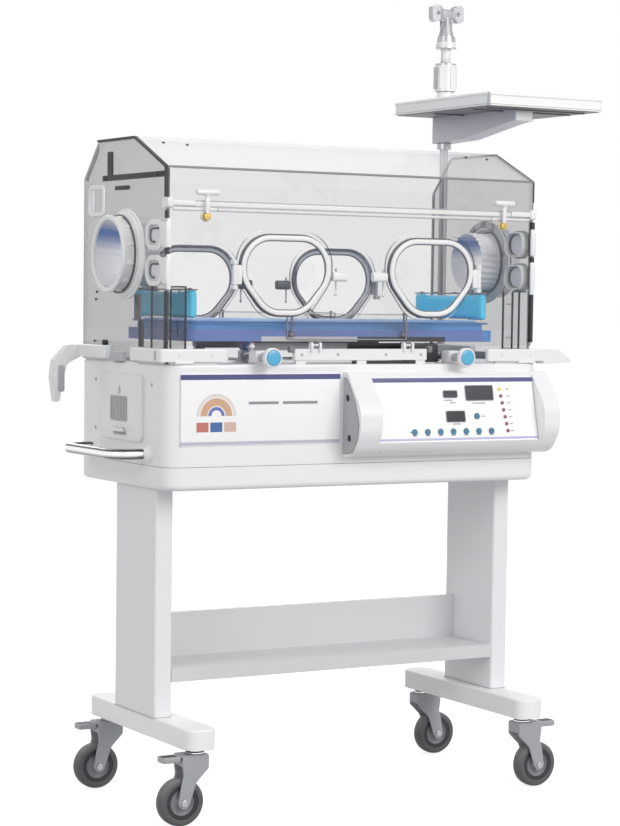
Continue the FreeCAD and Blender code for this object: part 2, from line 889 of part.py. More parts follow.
def push_handles():
    wall = -half_width
    outer = wall - d.handle_reach
    bend = d.handle_bend
    front = d.side_middle - d.handle_half
    back = d.side_middle + d.handle_half
    bar = rod("handle_grip", "y", (outer, d.handle_height), (front + bend, back - bend), d.handle_diameter)
    pieces = [bar]
    for name, y, sign in (("front", front, 1), ("back", back, -1)):
        leg = rod(f"handle_leg_{name}", "x", (y, d.handle_height), (outer + bend, wall), d.handle_diameter)
        elbow = doc.addObject("Part::Torus", f"handle_elbow_{name}")
        bind(elbow, "Radius1", bend)
        bind(elbow, "Radius2", d.handle_diameter / 2)
        elbow.Angle3 = 90
        turn = FreeCAD.Rotation(FreeCAD.Vector(0, 0, 1), 180 if sign > 0 else 90)
        place(elbow, outer + bend, y + sign * bend, d.handle_height, turn)
        flare = taper(
            f"handle_flare_{name}", "x", (y, d.handle_height), (wall - 12, wall),
            d.handle_diameter, d.handle_diameter + d.handle_flare,
        )
        pieces += [leg, elbow, flare]
    handle = fuse("handle_body", *pieces)
    node("push_handle_left", handle)
    node("push_handle_right", mirrored("handle_body_right", handle))


# Water tank

def water_tank():
    wall = -half_width
    low = d.tank_bottom
    high = low + d.tank_height
    cover = rounded_block(
        "tank_cover_plate", "x", (wall - d.tank_cover - d.seat_gap, wall - d.seat_gap),
        (d.side_middle - d.tank_width / 2, d.side_middle + d.tank_width / 2), (low, high), 14,
    )
    half = tank_body_width / 2
    trough = block(
        "tank_trough", (wall - d.seat_gap - 1, wall + d.tank_length),
        (d.side_middle - half, d.side_middle + half), (tank_floor, high - 2 * d.tank_lap),
    )
    hollow = block(
        "tank_hollow", (wall + 4, wall + d.tank_length - 3),
        (d.side_middle - half + 3, d.side_middle + half - 3), (tank_floor + 3, high),
    )
    lip = rounded_block(
        "tank_pull", "z", (wall - 18, wall - 6),
        (d.side_middle - 30, d.side_middle + 30), (low + 18, low + 24), 5,
    )
    node("water_tank", cut("water_tank_body", fuse("tank_solid", cover, trough, lip), hollow))


# Hood

wall_front = d.hood_front
wall_inside = d.hood_front + d.front_sheet


def hood_outline():
    """Cross section of the hood's outer face, anticlockwise in Y and Z."""
    low = d.deck_height - d.front_sheet
    return [
        (d.hood_front, low), (d.hood_back, low), (d.hood_back, d.hood_rear_shoulder),
        (d.roof_back, d.hood_top), (d.roof_front, d.hood_top), (d.hood_front, d.hood_shoulder),
    ]


def port_outline(x, z, grow):
    """A hand port's outline: wide and flat above, narrower below."""
    half = d.port_width / 2 + grow
    rise = d.port_rise / 2 + grow
    foot = d.port_foot / 2 + as_size(grow) * 0.6
    waist = d.port_rise * 0.06
    return [
        (x - foot, z - rise), (x + foot, z - rise), (x + half, z - waist),
        (x + half, z + rise), (x - half, z + rise), (x - half, z - waist),
    ]


def port_slab(name, x, z, grow, span):
    body = slab(name, "y", port_outline(x, z, grow), span)
    return round_edges(body, d.port_corner + grow, runs_along("y"))


def hinge_x(x, side):
    return x + side * (d.port_width / 2 + d.port_rim + 7)


def port_seat(name, x, z, face, outward, side):
    """Raised rim round a hand port and the hinge lugs and striker beside it."""
    rim_face = face + outward * d.port_seat
    outer = port_slab(f"{name}_rim_outer", x, z, d.port_rim, (face, rim_face))
    inner = port_slab(f"{name}_rim_inner", x, z, as_size(0), (face - outward * 1, rim_face + outward * 1))
    pieces = [cut(f"{name}_rim", outer, inner)]
    pivot = hinge_x(x, side)
    pivot_y = face + outward * (d.port_seat + d.port_pin)
    for number, sign in enumerate((-1, 1)):
        z_span = (z + sign * d.port_knuckle, z + sign * (d.port_knuckle + 8))
        pieces.append(block(f"{name}_lug_{number}", (pivot - 6, pivot + 6), (face, pivot_y), z_span))
        pieces.append(rod(f"{name}_lug_end_{number}", "z", (pivot, pivot_y), z_span, 12))
    pieces.append(rod(
        f"{name}_pin", "z", (pivot, pivot_y), (z - d.port_knuckle - 1, z + d.port_knuckle + 1), d.port_pin,
    ))
    latch = x - side * (d.port_width / 2 + d.port_rim + 1)
    far = latch - side * d.striker_width
    pieces.append(rounded_block(
        f"{name}_striker", "y", (latch, far), (face, face + outward * (d.port_seat + d.port_pane)),
        (z - d.striker_height / 2, z + d.striker_height / 2), d.striker_height / 3,
    ))
    return pieces


def port_door(name, x, z, face, outward, side):
    """A clear port door in a thick rim, with its hinge knuckle."""
    back = face + outward * (d.port_seat + d.seat_gap)
    front = back + outward * d.port_pane
    outer = port_slab(f"{name}_outer", x, z, d.port_rim - 4, (back, front))
    well = port_slab(f"{name}_well", x, z, as_size(-6), (back + outward * 4, front + outward * 1))
    pane = cut(f"{name}_pane", outer, well)
    pivot = hinge_x(x, side)
    pivot_y = face + outward * (d.port_seat + d.port_pin)
    z_span = (z - d.port_knuckle + d.seat_gap, z + d.port_knuckle - d.seat_gap)
    knuckle = rod(f"{name}_knuckle", "z", (pivot, pivot_y), z_span, 11)
    edge = x + side * (d.port_width / 2 + d.port_rim - 12)
    arm = block(f"{name}_arm", (edge, pivot), (pivot_y - 2, pivot_y + 2), z_span)
    bore = rod(
        f"{name}_bore", "z", (pivot, pivot_y),
        (z - d.port_knuckle - 2, z + d.port_knuckle + 2), d.port_pin + 2 * d.running_gap,
    )
    return node(name, cut(f"{name}_body", fuse(f"{name}_solid", pane, knuckle, arm), bore))


def hood():
    outer = hood_outline()
    width = (-d.hood_half, d.hood_half)
    full = slab("hood_full", "x", outer, width)
    inner = slab("hood_inner", "x", inset(outer, d.front_sheet), (-d.hood_half - 1, d.hood_half + 1))
    wide = (-d.hood_half - 2, d.hood_half + 2)
    below = block(
        "hood_open_bottom", wide, (d.hood_front - 2, d.hood_back + 2), (d.deck_height - 20, d.deck_height),
    )
    doorway = block(
        "hood_doorway", wide, (d.hood_front - 2, wall_inside + 0.1),
        (d.deck_height - 20, d.door_top + d.door_gap),
    )
    tools = [inner, below, doorway]
    seats = []
    for name, side in (("left", -1), ("right", 1)):
        x = side * d.port_spacing
        through = (d.hood_back - d.front_sheet - 1, d.hood_back + 1)
        tools.append(port_slab(f"rear_hole_{name}", x, d.rear_port_height, as_size(0), through))
        seats += port_seat(f"rear_seat_{name}", x, d.rear_port_height, d.hood_back, 1, side)
        port_door(f"port_door_rear_{name}", x, d.rear_port_height, d.hood_back, 1, side)
    node("hood_shell", fuse("hood_shell_body", cut("hood_sheet", full, *tools), *seats))


def grommet_slot(name, x, z, grow):
    """The rounded slot of a tube grommet in an end wall."""
    y = (d.grommet_front + d.grommet_lip - grow, d.grommet_back - d.grommet_lip + grow)
    rise = d.grommet_rise / 2 - d.grommet_lip + grow
    return rounded_block(name, "x", x, y, (z - rise, z + rise), rise - 0.5)


def hood_ends():
    outline = inset(hood_outline(), d.front_sheet)
    inner = d.hood_half - d.end_sheet
    plate = slab("hood_end_plate", "x", outline, (inner, d.hood_half))
    through = (inner - 1, d.hood_half + 1)
    iris = rod("iris_hole", "x", (0, d.iris_height), through, d.iris_bore + 8)
    slots = [grommet_slot(f"end_slot_{number}", through, z, as_size(0.2))
             for number, z in enumerate((d.grommet_upper, d.grommet_lower))]
    end = cut("hood_end_body", plate, iris, *slots)
    node("hood_end_right", end)
    node("hood_end_left", mirrored("hood_end_left_body", end))


def tube_grommets():
    inner = d.hood_half - d.end_sheet
    pieces = []
    for number, z in enumerate((d.grommet_upper, d.grommet_lower)):
        flange = grommet_slot(
            f"grommet_flange_{number}", (d.hood_half, d.hood_half + d.grommet_wall), z, d.grommet_lip,
        )
        neck = grommet_slot(f"grommet_neck_{number}", (inner - 4, d.hood_half), z, as_size(0))
        hole = grommet_slot(
            f"grommet_hole_{number}", (inner - 6, d.hood_half + d.grommet_wall + 2), z, -d.grommet_wall,
        )
        ring = cut(f"grommet_{number}", fuse(f"grommet_solid_{number}", flange, neck), hole)
        pieces += [ring, mirrored(f"grommet_left_{number}", ring)]
    node("tube_grommets", group("grommet_set", *pieces))


def iris_ports():
    outer = d.hood_half
    inner = outer - d.end_sheet
    line = (0, d.iris_height)
    collar = rod("iris_collar", "x", line, (outer, outer + d.iris_collar), d.iris_flange)
    neck = rod("iris_neck", "x", line, (inner, outer), d.iris_bore + 8 - 2 * d.seat_gap)
    bore = rod("iris_bore", "x", line, (inner - 1, outer + d.iris_collar + 1), d.iris_bore)
    flange = cut("iris_flange", fuse("iris_flange_solid", collar, neck), bore)
    node("iris_flanges", group("iris_flange_set", flange, mirrored("iris_flange_left", flange)))
    seat = outer + d.iris_collar + d.seat_gap
    ring = rod("iris_ring_outer", "x", line, (seat, outer + d.iris_reach), d.iris_ring)
    spigot = rod("iris_spigot", "x", line, (outer, seat), d.iris_bore - 2 * d.running_gap)
    hollow = rod("iris_hollow", "x", line, (outer - 1, outer + d.iris_reach + 1), d.iris_bore - 8)
    turning = cut("iris_ring_right_body", fuse("iris_ring_solid", ring, spigot), hollow)
    node("iris_ring_right", turning)
    node("iris_ring_left", mirrored("iris_ring_left_body", turning))
    wide = d.iris_bore - 8 - 2 * d.seat_gap
    narrow = wide - 12
    span = (outer - d.sleeve_reach, outer + d.iris_reach - 6)
    skin = taper("iris_sleeve_skin", "x", line, span, narrow, wide)
    inside = taper("iris_sleeve_inside", "x", line, span, narrow - 3, wide - 3)
    sleeve = cut("iris_sleeve", skin, inside)
    node("iris_sleeves", group("iris_sleeve_set", sleeve, mirrored("iris_sleeve_left", sleeve)))


# Front door

pivot_y = d.hood_front - d.hinge_forward
latch_x = d.hood_half - d.latch_inset


def front_door():
    face = d.hood_front
    width = (0.5 - d.hood_half, d.hood_half - 0.5)
    plate = block("door_plate", width, (face, wall_inside - 0.3), (d.door_bottom, d.door_top))
    holes = []
    seats = []
    for name, side in (("left", -1), ("right", 1)):
        x = side * d.port_spacing
        holes.append(port_slab(
            f"front_hole_{name}", x, d.port_height, as_size(0), (face - 1, wall_inside + 1),
        ))
        seats += port_seat(f"front_seat_{name}", x, d.port_height, face, -1, side)
        port_door(f"port_door_front_{name}", x, d.port_height, face, -1, side)
        latch_line = (side * latch_x, d.door_top - d.latch_drop)
        seats.append(rod(f"latch_pin_{name}", "y", latch_line, (face - 12, face), 6))
        ear_x = (side * (d.hinge_spacing - d.hinge_ear / 2), side * (d.hinge_spacing + d.hinge_ear / 2))
        ear = block(f"door_ear_{name}", ear_x, (pivot_y, face), (d.hinge_height - 2, d.hinge_height + 6))
        eye = rod(f"door_ear_eye_{name}", "x", (pivot_y, d.hinge_height), ear_x, d.hinge_eye)
        seats += [ear, eye]
        hole_x = (side * (d.hinge_spacing - d.hinge_ear), side * (d.hinge_spacing + d.hinge_ear))
        holes.append(rod(
            f"door_ear_hole_{name}", "x", (pivot_y, d.hinge_height), hole_x, d.hinge_pin + 2 * d.running_gap,
        ))
    rail_half = d.hood_half - d.door_rail_inset
    rail = block("door_top_rail", (-rail_half, rail_half), (face - 5, face), (d.door_top - 8, d.door_top))
    node("front_door", cut("front_door_body", fuse("door_solid", plate, rail, *seats), *holes))


def door_hinge_rail():
    """Bar on the deck edge whose lugs stand on both sides of each door ear and hold its pin."""
    top = d.knob_height + 18
    low = top - d.rail_height
    bar = rounded_block(
        "hinge_bar", "z", (-d.rail_half, d.rail_half), (pivot_y - 1, pivot_y + 13), (low, top), 4,
    )
    pieces = [bar]
    for number, share in enumerate((-0.9, 0, 0.9)):
        x = d.rail_half * share
        pieces.append(block(
            f"hinge_foot_{number}", (x - 12, x + 12), (pivot_y + 1, pivot_y + 12), (d.deck_height, low),
        ))
    near = d.hinge_ear / 2 + d.hinge_play
    far = near + d.hinge_lug
    for name, side in (("left", -1), ("right", 1)):
        middle = side * d.hinge_spacing
        for number, sign in enumerate((-1, 1)):
            x = (middle + sign * near, middle + sign * far)
            pieces.append(block(
                f"hinge_lug_{name}_{number}", x, (pivot_y - 6, pivot_y + 6), (top - 6, d.hinge_height),
            ))
            pieces.append(rod(f"hinge_eye_{name}_{number}", "x", (pivot_y, d.hinge_height), x, d.hinge_eye))
        pieces.append(rod(
            f"hinge_pin_{name}", "x", (pivot_y, d.hinge_height), (middle - far, middle + far), d.hinge_pin,
        ))
    node("door_hinge_rail", fuse("hinge_rail_body", *pieces))


def door_latches():
    """T handles that turn on pins of the door."""
    face = d.hood_front
    z = d.door_top - d.latch_drop
    x = latch_x
    hub = rod("latch_hub", "y", (x, z), (face - 14, face - d.seat_gap), 20)
    stem = block("latch_arm", (x - 4.5, x + 4.5), (face - 14, face - 8), (z, z + d.latch_stem - 3))
    bar = rod(
        "latch_grip", "x", (face - 12, z + d.latch_stem),
        (x - d.latch_bar / 2, x + d.latch_bar / 2), d.latch_thickness,
    )
    bore = rod("latch_bore", "y", (x, z), (face - 12.5, face), 6 + 2 * d.running_gap)
    latch = cut("latch_body", fuse("latch_solid", hub, stem, bar), bore)
    node("door_latch_right", latch)
    node("door_latch_left", mirrored("latch_body_left", latch))


# Corner mouldings round the foot of the hood

def corner_mouldings():
    """White bars round the foot of the hood; the front right and rear left ones end in a wing."""
    low = d.deck_height + d.moulding_level
    high = low + d.moulding_height
    outer = half_width + d.moulding_ledge
    inner = d.hood_half + 2
    front = base_front + 2
    back = front + d.moulding_width
    rear_start = half_depth - 6 - d.moulding_rear_leg
    foot = (d.deck_height, low + 1)
    foot_length = d.moulding_front_leg * 0.7
    pieces = []
    for name, side in (("left", -1), ("right", 1)):
        start = side * (outer - d.moulding_front_leg)
        outline = [
            (start, front), (side * outer, front), (side * outer, front + d.moulding_side_leg),
            (side * inner, front + d.moulding_side_leg), (side * inner, back), (start, back),
        ]
        if side < 0:
            outline.reverse()
        corner = slab(f"moulding_{name}", "z", outline, (low, high))
        round_edges(corner, 6, runs_along("z"))
        round_edges(corner, 4, lies_at("z", high))
        rear = rounded_block(
            f"moulding_rear_{name}", "z", (side * inner, side * outer),
            (rear_start, rear_start + d.moulding_rear_leg), (low, high), 8)
        round_edges(rear, 4, lies_at("z", high))
        front_foot = block(
            f"moulding_foot_a_{name}", (side * (inner - foot_length), side * (inner - 4)),
            (back - 8, back - 1), foot,
        )
        side_foot = block(
            f"moulding_foot_b_{name}", (side * (inner + 1), side * (inner + 4)),
            (back + 8, back + 8 + foot_length), foot,
        )
        rear_foot = block(
            f"moulding_foot_c_{name}", (side * (inner + 1), side * (inner + 4)),
            (rear_start + 12, rear_start + 12 + foot_length), foot,
        )
        pieces += [[corner, front_foot, side_foot], [rear, rear_foot]]
    wing_start = outer - 8
    right_wing = slab("wing_right", "y", [
        (wing_start, low - 6), (outer + d.wing_reach, low - 4), (outer + d.wing_reach, low + 4),
        (outer + d.wing_reach * 0.5, high - 2), (wing_start, high - 1),
    ], (front, front + 2 * d.moulding_width))
    round_edges(right_wing, 2, runs_along("y"))
    pieces[2].append(right_wing)
    tip = low - d.wing_drop
    left_wing = slab("wing_left", "y", [
        (-wing_start, high - 1), (-wing_start - 32, high - 2), (-outer - d.wing_reach * 0.85, low - 8),
        (-outer - d.wing_reach * 0.92, low - d.wing_drop * 0.45),
        (-outer - d.wing_reach * 0.8, tip), (-outer - d.wing_reach * 0.66, tip + 4),
        (-outer - d.wing_reach * 0.56, low - d.wing_drop * 0.5),
        (-outer - d.wing_reach * 0.4, low - 16), (-wing_start, low + 2),
    ], (rear_start + d.moulding_rear_leg - 2 * d.moulding_width, rear_start + d.moulding_rear_leg - 6))
    round_edges(left_wing, 2, runs_along("y"))
    pieces[1].append(left_wing)
    node(
        "corner_mouldings",
        group("moulding_set", *[fuse(f"moulding_part_{number}", *parts) for number, parts in enumerate(pieces)]),
    )


# Bed and its tilting gear

bed_half_depth = d.bed_depth / 2


def tilt_bearings():
    """Blocks on the deck that carry the knob shafts, guide the posts and hold the cradle's pivots."""
    pieces = []
    bore = d.shaft_diameter + 2 * d.running_gap
    post_bore = d.post_diameter + 2 * d.running_gap
    deck = d.deck_height
    front = d.bearing_front
    back = front + d.bearing_depth
    for name, side in (("left", -1), ("right", 1)):
        x = side * d.knob_spacing
        half = d.shaft_diameter + 2
        house = rounded_block(
            f"shaft_block_{name}", "y", (x - half, x + half), (front, back), (deck, d.knob_height + half), 5,
        )
        hole = rod(f"shaft_hole_{name}", "y", (x, d.knob_height), (front - 2, back + 2), bore)
        pieces.append(cut(f"shaft_bearing_{name}", house, hole))
        post_x = side * d.post_spacing
        guide = rod(
            f"post_guide_{name}", "z", (post_x, d.post_line),
            (deck - 70, deck - d.cabinet_wall), d.post_diameter + 12,
        )
        guide_hole = rod(
            f"post_guide_hole_{name}", "z", (post_x, d.post_line), (deck - 72, deck + 1), post_bore,
        )
        pieces.append(cut(f"post_bush_{name}", guide, guide_hole))
    cover_end = d.knob_spacing - 22
    cover_y = (d.post_line - 34, d.post_line - 18)
    cover = rounded_block(
        "gear_cover", "y", (cover_end - d.gear_cover_width, cover_end), cover_y,
        (deck, deck + d.gear_cover_height), 4,
    )
    pieces.append(cover)
    deck_top = deck + d.deck_sheet
    line = d.cradle_line
    rail = d.cradle_rail / 2
    for name, side in (("front", -1), ("back", 1)):
        y = (side * (line + rail + 1), side * (line + rail + 11))
        stand_x = (d.post_spacing - d.pivot_eye / 2, d.post_spacing + d.pivot_eye / 2)
        post = block(f"pivot_block_{name}", stand_x, y, (deck_top, d.pivot_height))
        head = rod(f"pivot_head_{name}", "y", (d.post_spacing, d.pivot_height), y, d.pivot_eye)
        pin = rod(
            f"pivot_pin_{name}", "y", (d.post_spacing, d.pivot_height),
            (side * (line - rail), side * (line + rail + 3)), d.pivot_pin,
        )
        pieces.append(fuse(f"pivot_{name}", post, head, pin))
        rest_y = (side * (line - rail), side * (line + rail))
        rest_x = (-d.post_spacing - 12, -d.post_spacing + 12)
        pieces.append(block(
            f"cradle_rest_{name}", rest_x, rest_y, (deck_top, d.pivot_height - 8 - d.seat_gap),
        ))
    node("tilt_bearings", group("bearing_set", *pieces))


def pinion(name, centre, teeth=10):
    """Gear teeth on the end of the shaft, one of them pointing at the rack."""
    half_pitch = math.pi / teeth
    root_flank = [(0.85, half_pitch), (0.85, 0.157), (0.9397, 0.157), (1.0, 0.142)]
    flank = root_flank + [(1.06, 0.116), (1.13, 0.078), (1.2, 0.034)]
    side = flank + [(radius, -angle) for radius, angle in reversed(flank)]
    points = [(0, 0)] + [
        (-radius * math.cos(angle) * d.pinion_radius, radius * math.sin(angle) * d.pinion_radius)
        for radius, angle in side
    ]
    body = doc.addObject("PartDesign::Body", name)
    span = (d.post_line - d.pinion_width / 2, d.post_line + d.pinion_width / 2)
    tooth = pad(body, name, "y", points, span, centre)
    return patterned("PolarPattern", body, tooth, "N_Axis", 0, teeth)


def rack_cutter(name, teeth=10, gaps=13):
    """Cuts a flat and a row of gaps at the pinion's pitch into the right side of a post."""
    module = d.pinion_radius * 2 / teeth
    pitch = module * math.pi
    pitch_line = d.knob_spacing - d.pinion_radius
    tip_line = pitch_line + module * 0.55
    root_line = pitch_line - module * 1.2
    outside = d.post_spacing + d.post_diameter / 2 + 1
    lowest = d.knob_height - pitch * (gaps - 2)
    span = (d.post_line - d.post_diameter, d.post_line + d.post_diameter)
    flat_ends = (lowest - pitch / 2, d.knob_height + pitch * 1.5)
    body = doc.addObject("PartDesign::Body", name)
    pad(body, f"{name}_flat", "y", corners_of((tip_line, outside), flat_ends), span)
    gap = [
        (root_line, -module * 0.42), (tip_line + 0.2, -module * 1.06),
        (tip_line + 0.2, module * 1.06), (root_line, module * 0.42),
    ]
    feature = pad(body, f"{name}_gap", "y", gap, span, (0, lowest))
    return patterned("LinearPattern", body, feature, "V_Axis", pitch * (gaps - 1), gaps)


def tilt_knobs():
    """Knobs on shafts that end in pinions."""
    line = (d.knob_spacing, d.knob_height)
    front = d.knob_front
    disc = rod("knob_disc", "y", line, (front + 3, front + 14), d.knob_diameter)
    cap = rod("knob_cap", "y", line, (front, front + 3), d.knob_diameter - 10)
    skirt = taper(
        "knob_skirt", "y", line, (front + 14, front + 26), d.knob_diameter - 8, d.shaft_diameter + 4,
    )
    shaft = rod("knob_shaft", "y", line, (front + 20, d.post_line + 6), d.shaft_diameter)
    knob = fuse("knob_body", disc, cap, skirt, shaft, pinion("knob_pinion", line))
    node("tilt_knob_right", knob)
    node("tilt_knob_left", mirrored("knob_body_left", knob))


def lift_posts():
    """Posts with a rack along one side and a tapered tip under the mattress tray."""
    line = (d.post_spacing, d.post_line)
    top = d.bed_bottom - 0.5
    tip_length = 10
    bar = rod("post_bar", "z", line, (top - d.post_length, top - tip_length), d.post_diameter)
    tip = taper("post_tip", "z", line, (top - tip_length, top), d.post_diameter, 4)
    post = cut("post_body", fuse("post_solid", bar, tip), rack_cutter("post_rack"))
    node("lift_post_right", post)
    node("lift_post_left", mirrored("post_body_left", post))


def bed_cradle():
    """Link frame between the fixed pivots at the right and the tray's pivots at the left."""
    x = (-d.post_spacing - 10, d.post_spacing + 10)
    z = (d.pivot_height - 8, d.pivot_height + 8)
    line = d.cradle_line
    rail = d.cradle_rail / 2
    pieces = []
    for name, side in (("front", -1), ("back", 1)):
        y = (side * (line - rail), side * (line + rail))
        pieces.append(rounded_block(f"cradle_rail_{name}", "y", x, y, z, 7))
        pieces.append(rod(
            f"cradle_pin_{name}", "y", (-d.post_spacing, d.pivot_height),
            (side * line, side * (line + rail + 10)), d.pivot_pin,
        ))
    for number, share in enumerate((-0.66, 0.66)):
        middle = d.post_spacing * share
        across = (4 - line, line - 4)
        pieces.append(block(
            f"cradle_bar_{number}", (middle - 8, middle + 8),
            across, (d.pivot_height - 5, d.pivot_height + 5),
        ))
    hole = rod(
        "cradle_hole", "y", (d.post_spacing, d.pivot_height),
        (-line - rail - 2, line + rail + 2), d.pivot_pin + 2 * d.running_gap,
    )
    node("bed_cradle", cut("cradle_body", fuse("cradle_solid", *pieces), hole))


def bed():
    x = (-d.bed_half, d.bed_half)
    y = (-bed_half_depth, bed_half_depth)
    wall = d.bed_wall
    rim_top = d.bed_bottom + d.bed_rim
    outer = rounded_block("bed_outer", "z", x, y, (d.bed_bottom, rim_top), d.bed_corner)
    inner = rounded_block(
        "bed_inner", "z", (wall - d.bed_half, d.bed_half - wall),
        (wall - bed_half_depth, bed_half_depth - wall),
        (d.bed_bottom + wall, rim_top + 1), d.bed_corner - wall,
    )
    lugs = []
    holes = []
    line = d.cradle_line + d.cradle_rail / 2
    for name, side in (("front", -1), ("back", 1)):
        lug_y = (side * (line + 1), side * (line + 10))
        lug_x = (-d.post_spacing - d.pivot_eye / 2, -d.post_spacing + d.pivot_eye / 2)
        lugs.append(block(f"bed_lug_{name}", lug_x, lug_y, (d.pivot_height, d.bed_bottom + 1)))
        lugs.append(rod(f"bed_lug_end_{name}", "y", (-d.post_spacing, d.pivot_height), lug_y, d.pivot_eye))
        holes.append(rod(
            f"bed_lug_hole_{name}", "y", (-d.post_spacing, d.pivot_height),
            (side * line, side * (line + 11)), d.pivot_pin + 2 * d.running_gap,
        ))
    shell = cut("bed_shell", outer, inner)
    node("mattress_tray", cut("bed_tray_body", fuse("bed_tray_solid", shell, *lugs), *holes))
    gap = wall + d.seat_gap
    mattress = rounded_block(
        "mattress_pad", "z", (gap - d.bed_half, d.bed_half - gap),
        (gap - bed_half_depth, bed_half_depth - gap),
        (d.bed_bottom + gap, d.mattress_top), d.bed_corner - 2,
    )
    node("mattress", mattress)
    low = d.mattress_top + d.seat_gap
    ends = []
    for name, side in (("left", -1), ("right", 1)):
        bolster_x = (side * (d.bed_half - 6 - d.bolster_width), side * (d.bed_half - 6))
        across = (8 - bed_half_depth, bed_half_depth - 8)
        ends.append(rounded_block(
            f"bolster_{name}", "x", bolster_x, across, (low, low + d.bolster_height), 20,
        ))
    node("end_bolsters", group("bolster_set", *ends))
    guards = []
    for name, side in (("front", -1), ("back", 1)):
        guard_y = (side * bed_half_depth, side * (bed_half_depth + d.guard_sheet))
        guard_z = (d.bed_bottom + 4, d.bed_bottom + 4 + d.guard_height)
        guards.append(rounded_block(f"guard_{name}", "y", (-d.guard_half, d.guard_half), guard_y, guard_z, 3))
    node("bed_guards", group("guard_set", *guards))


# Accessory pole with its tray and hook

def accessory_pole():
    line = (d.pole_across, d.pole_back)
    tube = rod("pole_tube", "z", line, (d.pole_bottom, d.pole_top), d.pole_diameter)
    collar = rod("pole_collar", "z", line, (d.collar_bottom, d.pole_top), d.collar_diameter)
    seat = rod("pole_seat", "z", line, (d.arm_bottom - 14, d.arm_bottom - d.seat_gap), d.pole_diameter + 14)
    bore = rod(
        "pole_bore", "z", line, (d.pole_bottom + 20, d.pole_top + 1), d.rod_diameter + 2 * d.running_gap,
    )
    pieces = [tube, collar, seat]
    edge = d.collar_diameter / 2
    for number, side in enumerate((-1, 1)):
        x = (d.pole_across + side * (edge - 3), d.pole_across + side * (edge + 4))
        pieces.append(block(
            f"collar_rib_{number}", x, (d.pole_back - 5, d.pole_back + 5),
            (d.collar_bottom + 6, d.pole_top - 8),
        ))
    plate_front = d.pole_back - d.bracket_setback
    plate_y = (plate_front, plate_front + d.bracket_depth)
    for number, drop in enumerate((d.bracket_lower_drop, d.bracket_upper_drop)):
        z = d.deck_height - drop
        height = d.bracket_height / 2
        plate = block(f"pole_plate_{number}", (half_width, half_width + 6), plate_y, (z - height, z + height))
        tongue = slab(f"pole_tongue_{number}", "z", [
            (half_width + 1, plate_front + 10), (half_width + 6, plate_front + 10),
            (d.pole_across + 16, d.pole_back - 10), (d.pole_across + 16, d.pole_back),
            (d.pole_across - 16, d.pole_back), (half_width + 1, plate_front + d.bracket_depth - 10),
        ], (z - 6, z + 6))
        clamp = rod(f"pole_clamp_{number}", "z", line, (z - 14, z + 14), d.pole_diameter + 14)
        pieces += [plate, tongue, clamp]
    node("accessory_pole", cut("pole_body", fuse("pole_solid", *pieces), bore))


def tray_arm():
    back = d.pole_back + 24
    low = d.arm_bottom
    high = d.tray_bottom
    front = d.arm_front
    outline = [
        (back, low), (back, high), (front, high),
        (front, high - d.arm_nose), (front + 40, high - d.arm_nose - 4),
        (d.pole_back - d.arm_length / 3, low + 4),
    ]
    x = (d.pole_across - d.arm_width / 2, d.pole_across + d.arm_width / 2)
    beam = slab("arm_beam", "x", outline, x)
    round_edges(beam, 12, lies_at("y", back, "z"))
    bore = rod(
        "arm_bore", "z", (d.pole_across, d.pole_back),
        (low - 1, high + 1), d.pole_diameter + 2 * d.running_gap,
    )
    node("tray_arm", cut("arm_body", beam, bore))


def instrument_tray():
    x = (d.tray_left, d.tray_right)
    y = (d.tray_front, d.tray_back)
    top = d.tray_bottom + d.tray_rim
    outer = rounded_block("tray_plate_outer", "z", x, y, (d.tray_bottom, top), 12)
    sheet_x = (d.tray_left + d.tray_sheet, d.tray_right - d.tray_sheet)
    sheet_y = (d.tray_front + d.tray_sheet, d.tray_back - d.tray_sheet)
    floor = d.tray_bottom + d.tray_sheet + 1
    inner = rounded_block("tray_plate_inner", "z", sheet_x, sheet_y, (floor, top + 1), 8)
    bore = rod(
        "tray_bore", "z", (d.pole_across, d.pole_back), (d.tray_bottom - 1, floor + 1),
        d.pole_diameter + 2 * d.running_gap,
    )
    node("instrument_tray", cut("tray_plate_body", outer, inner, bore))


def hook_rod():
    line = (d.pole_across, d.pole_back)
    top = d.hook_top
    seat = d.pole_top + d.seat_gap
    shank = rod("hook_shank", "z", line, (d.pole_top - d.rod_depth, top - 30), d.rod_diameter)
    sleeve = rod("hook_sleeve", "z", line, (seat, top - 103), d.rod_diameter + 8)
    cup = taper("hook_cup", "z", line, (top - 103, top - 74), d.collar_diameter, d.collar_diameter - 8)
    stem = taper("hook_stem", "z", line, (top - 74, top - 36), 34, 18)
    bar = block("hook_bar", (d.pole_across - d.hook_half + 14, d.pole_across + d.hook_half - 14),
                (d.pole_back - 6, d.pole_back + 6), (top - 38, top - 14))
    lobes = [rounded_block(
        f"hook_lobe_{number}", "y",
        (d.pole_across + sign * (d.hook_half - 22), d.pole_across + sign * d.hook_half),
        (d.pole_back - 9, d.pole_back + 9), (top - 41, top), 10,
    ) for number, sign in enumerate((-1, 1))]
    node("hook_rod", fuse("hook_body", shank, sleeve, cup, stem, bar, *lobes))


# Fan

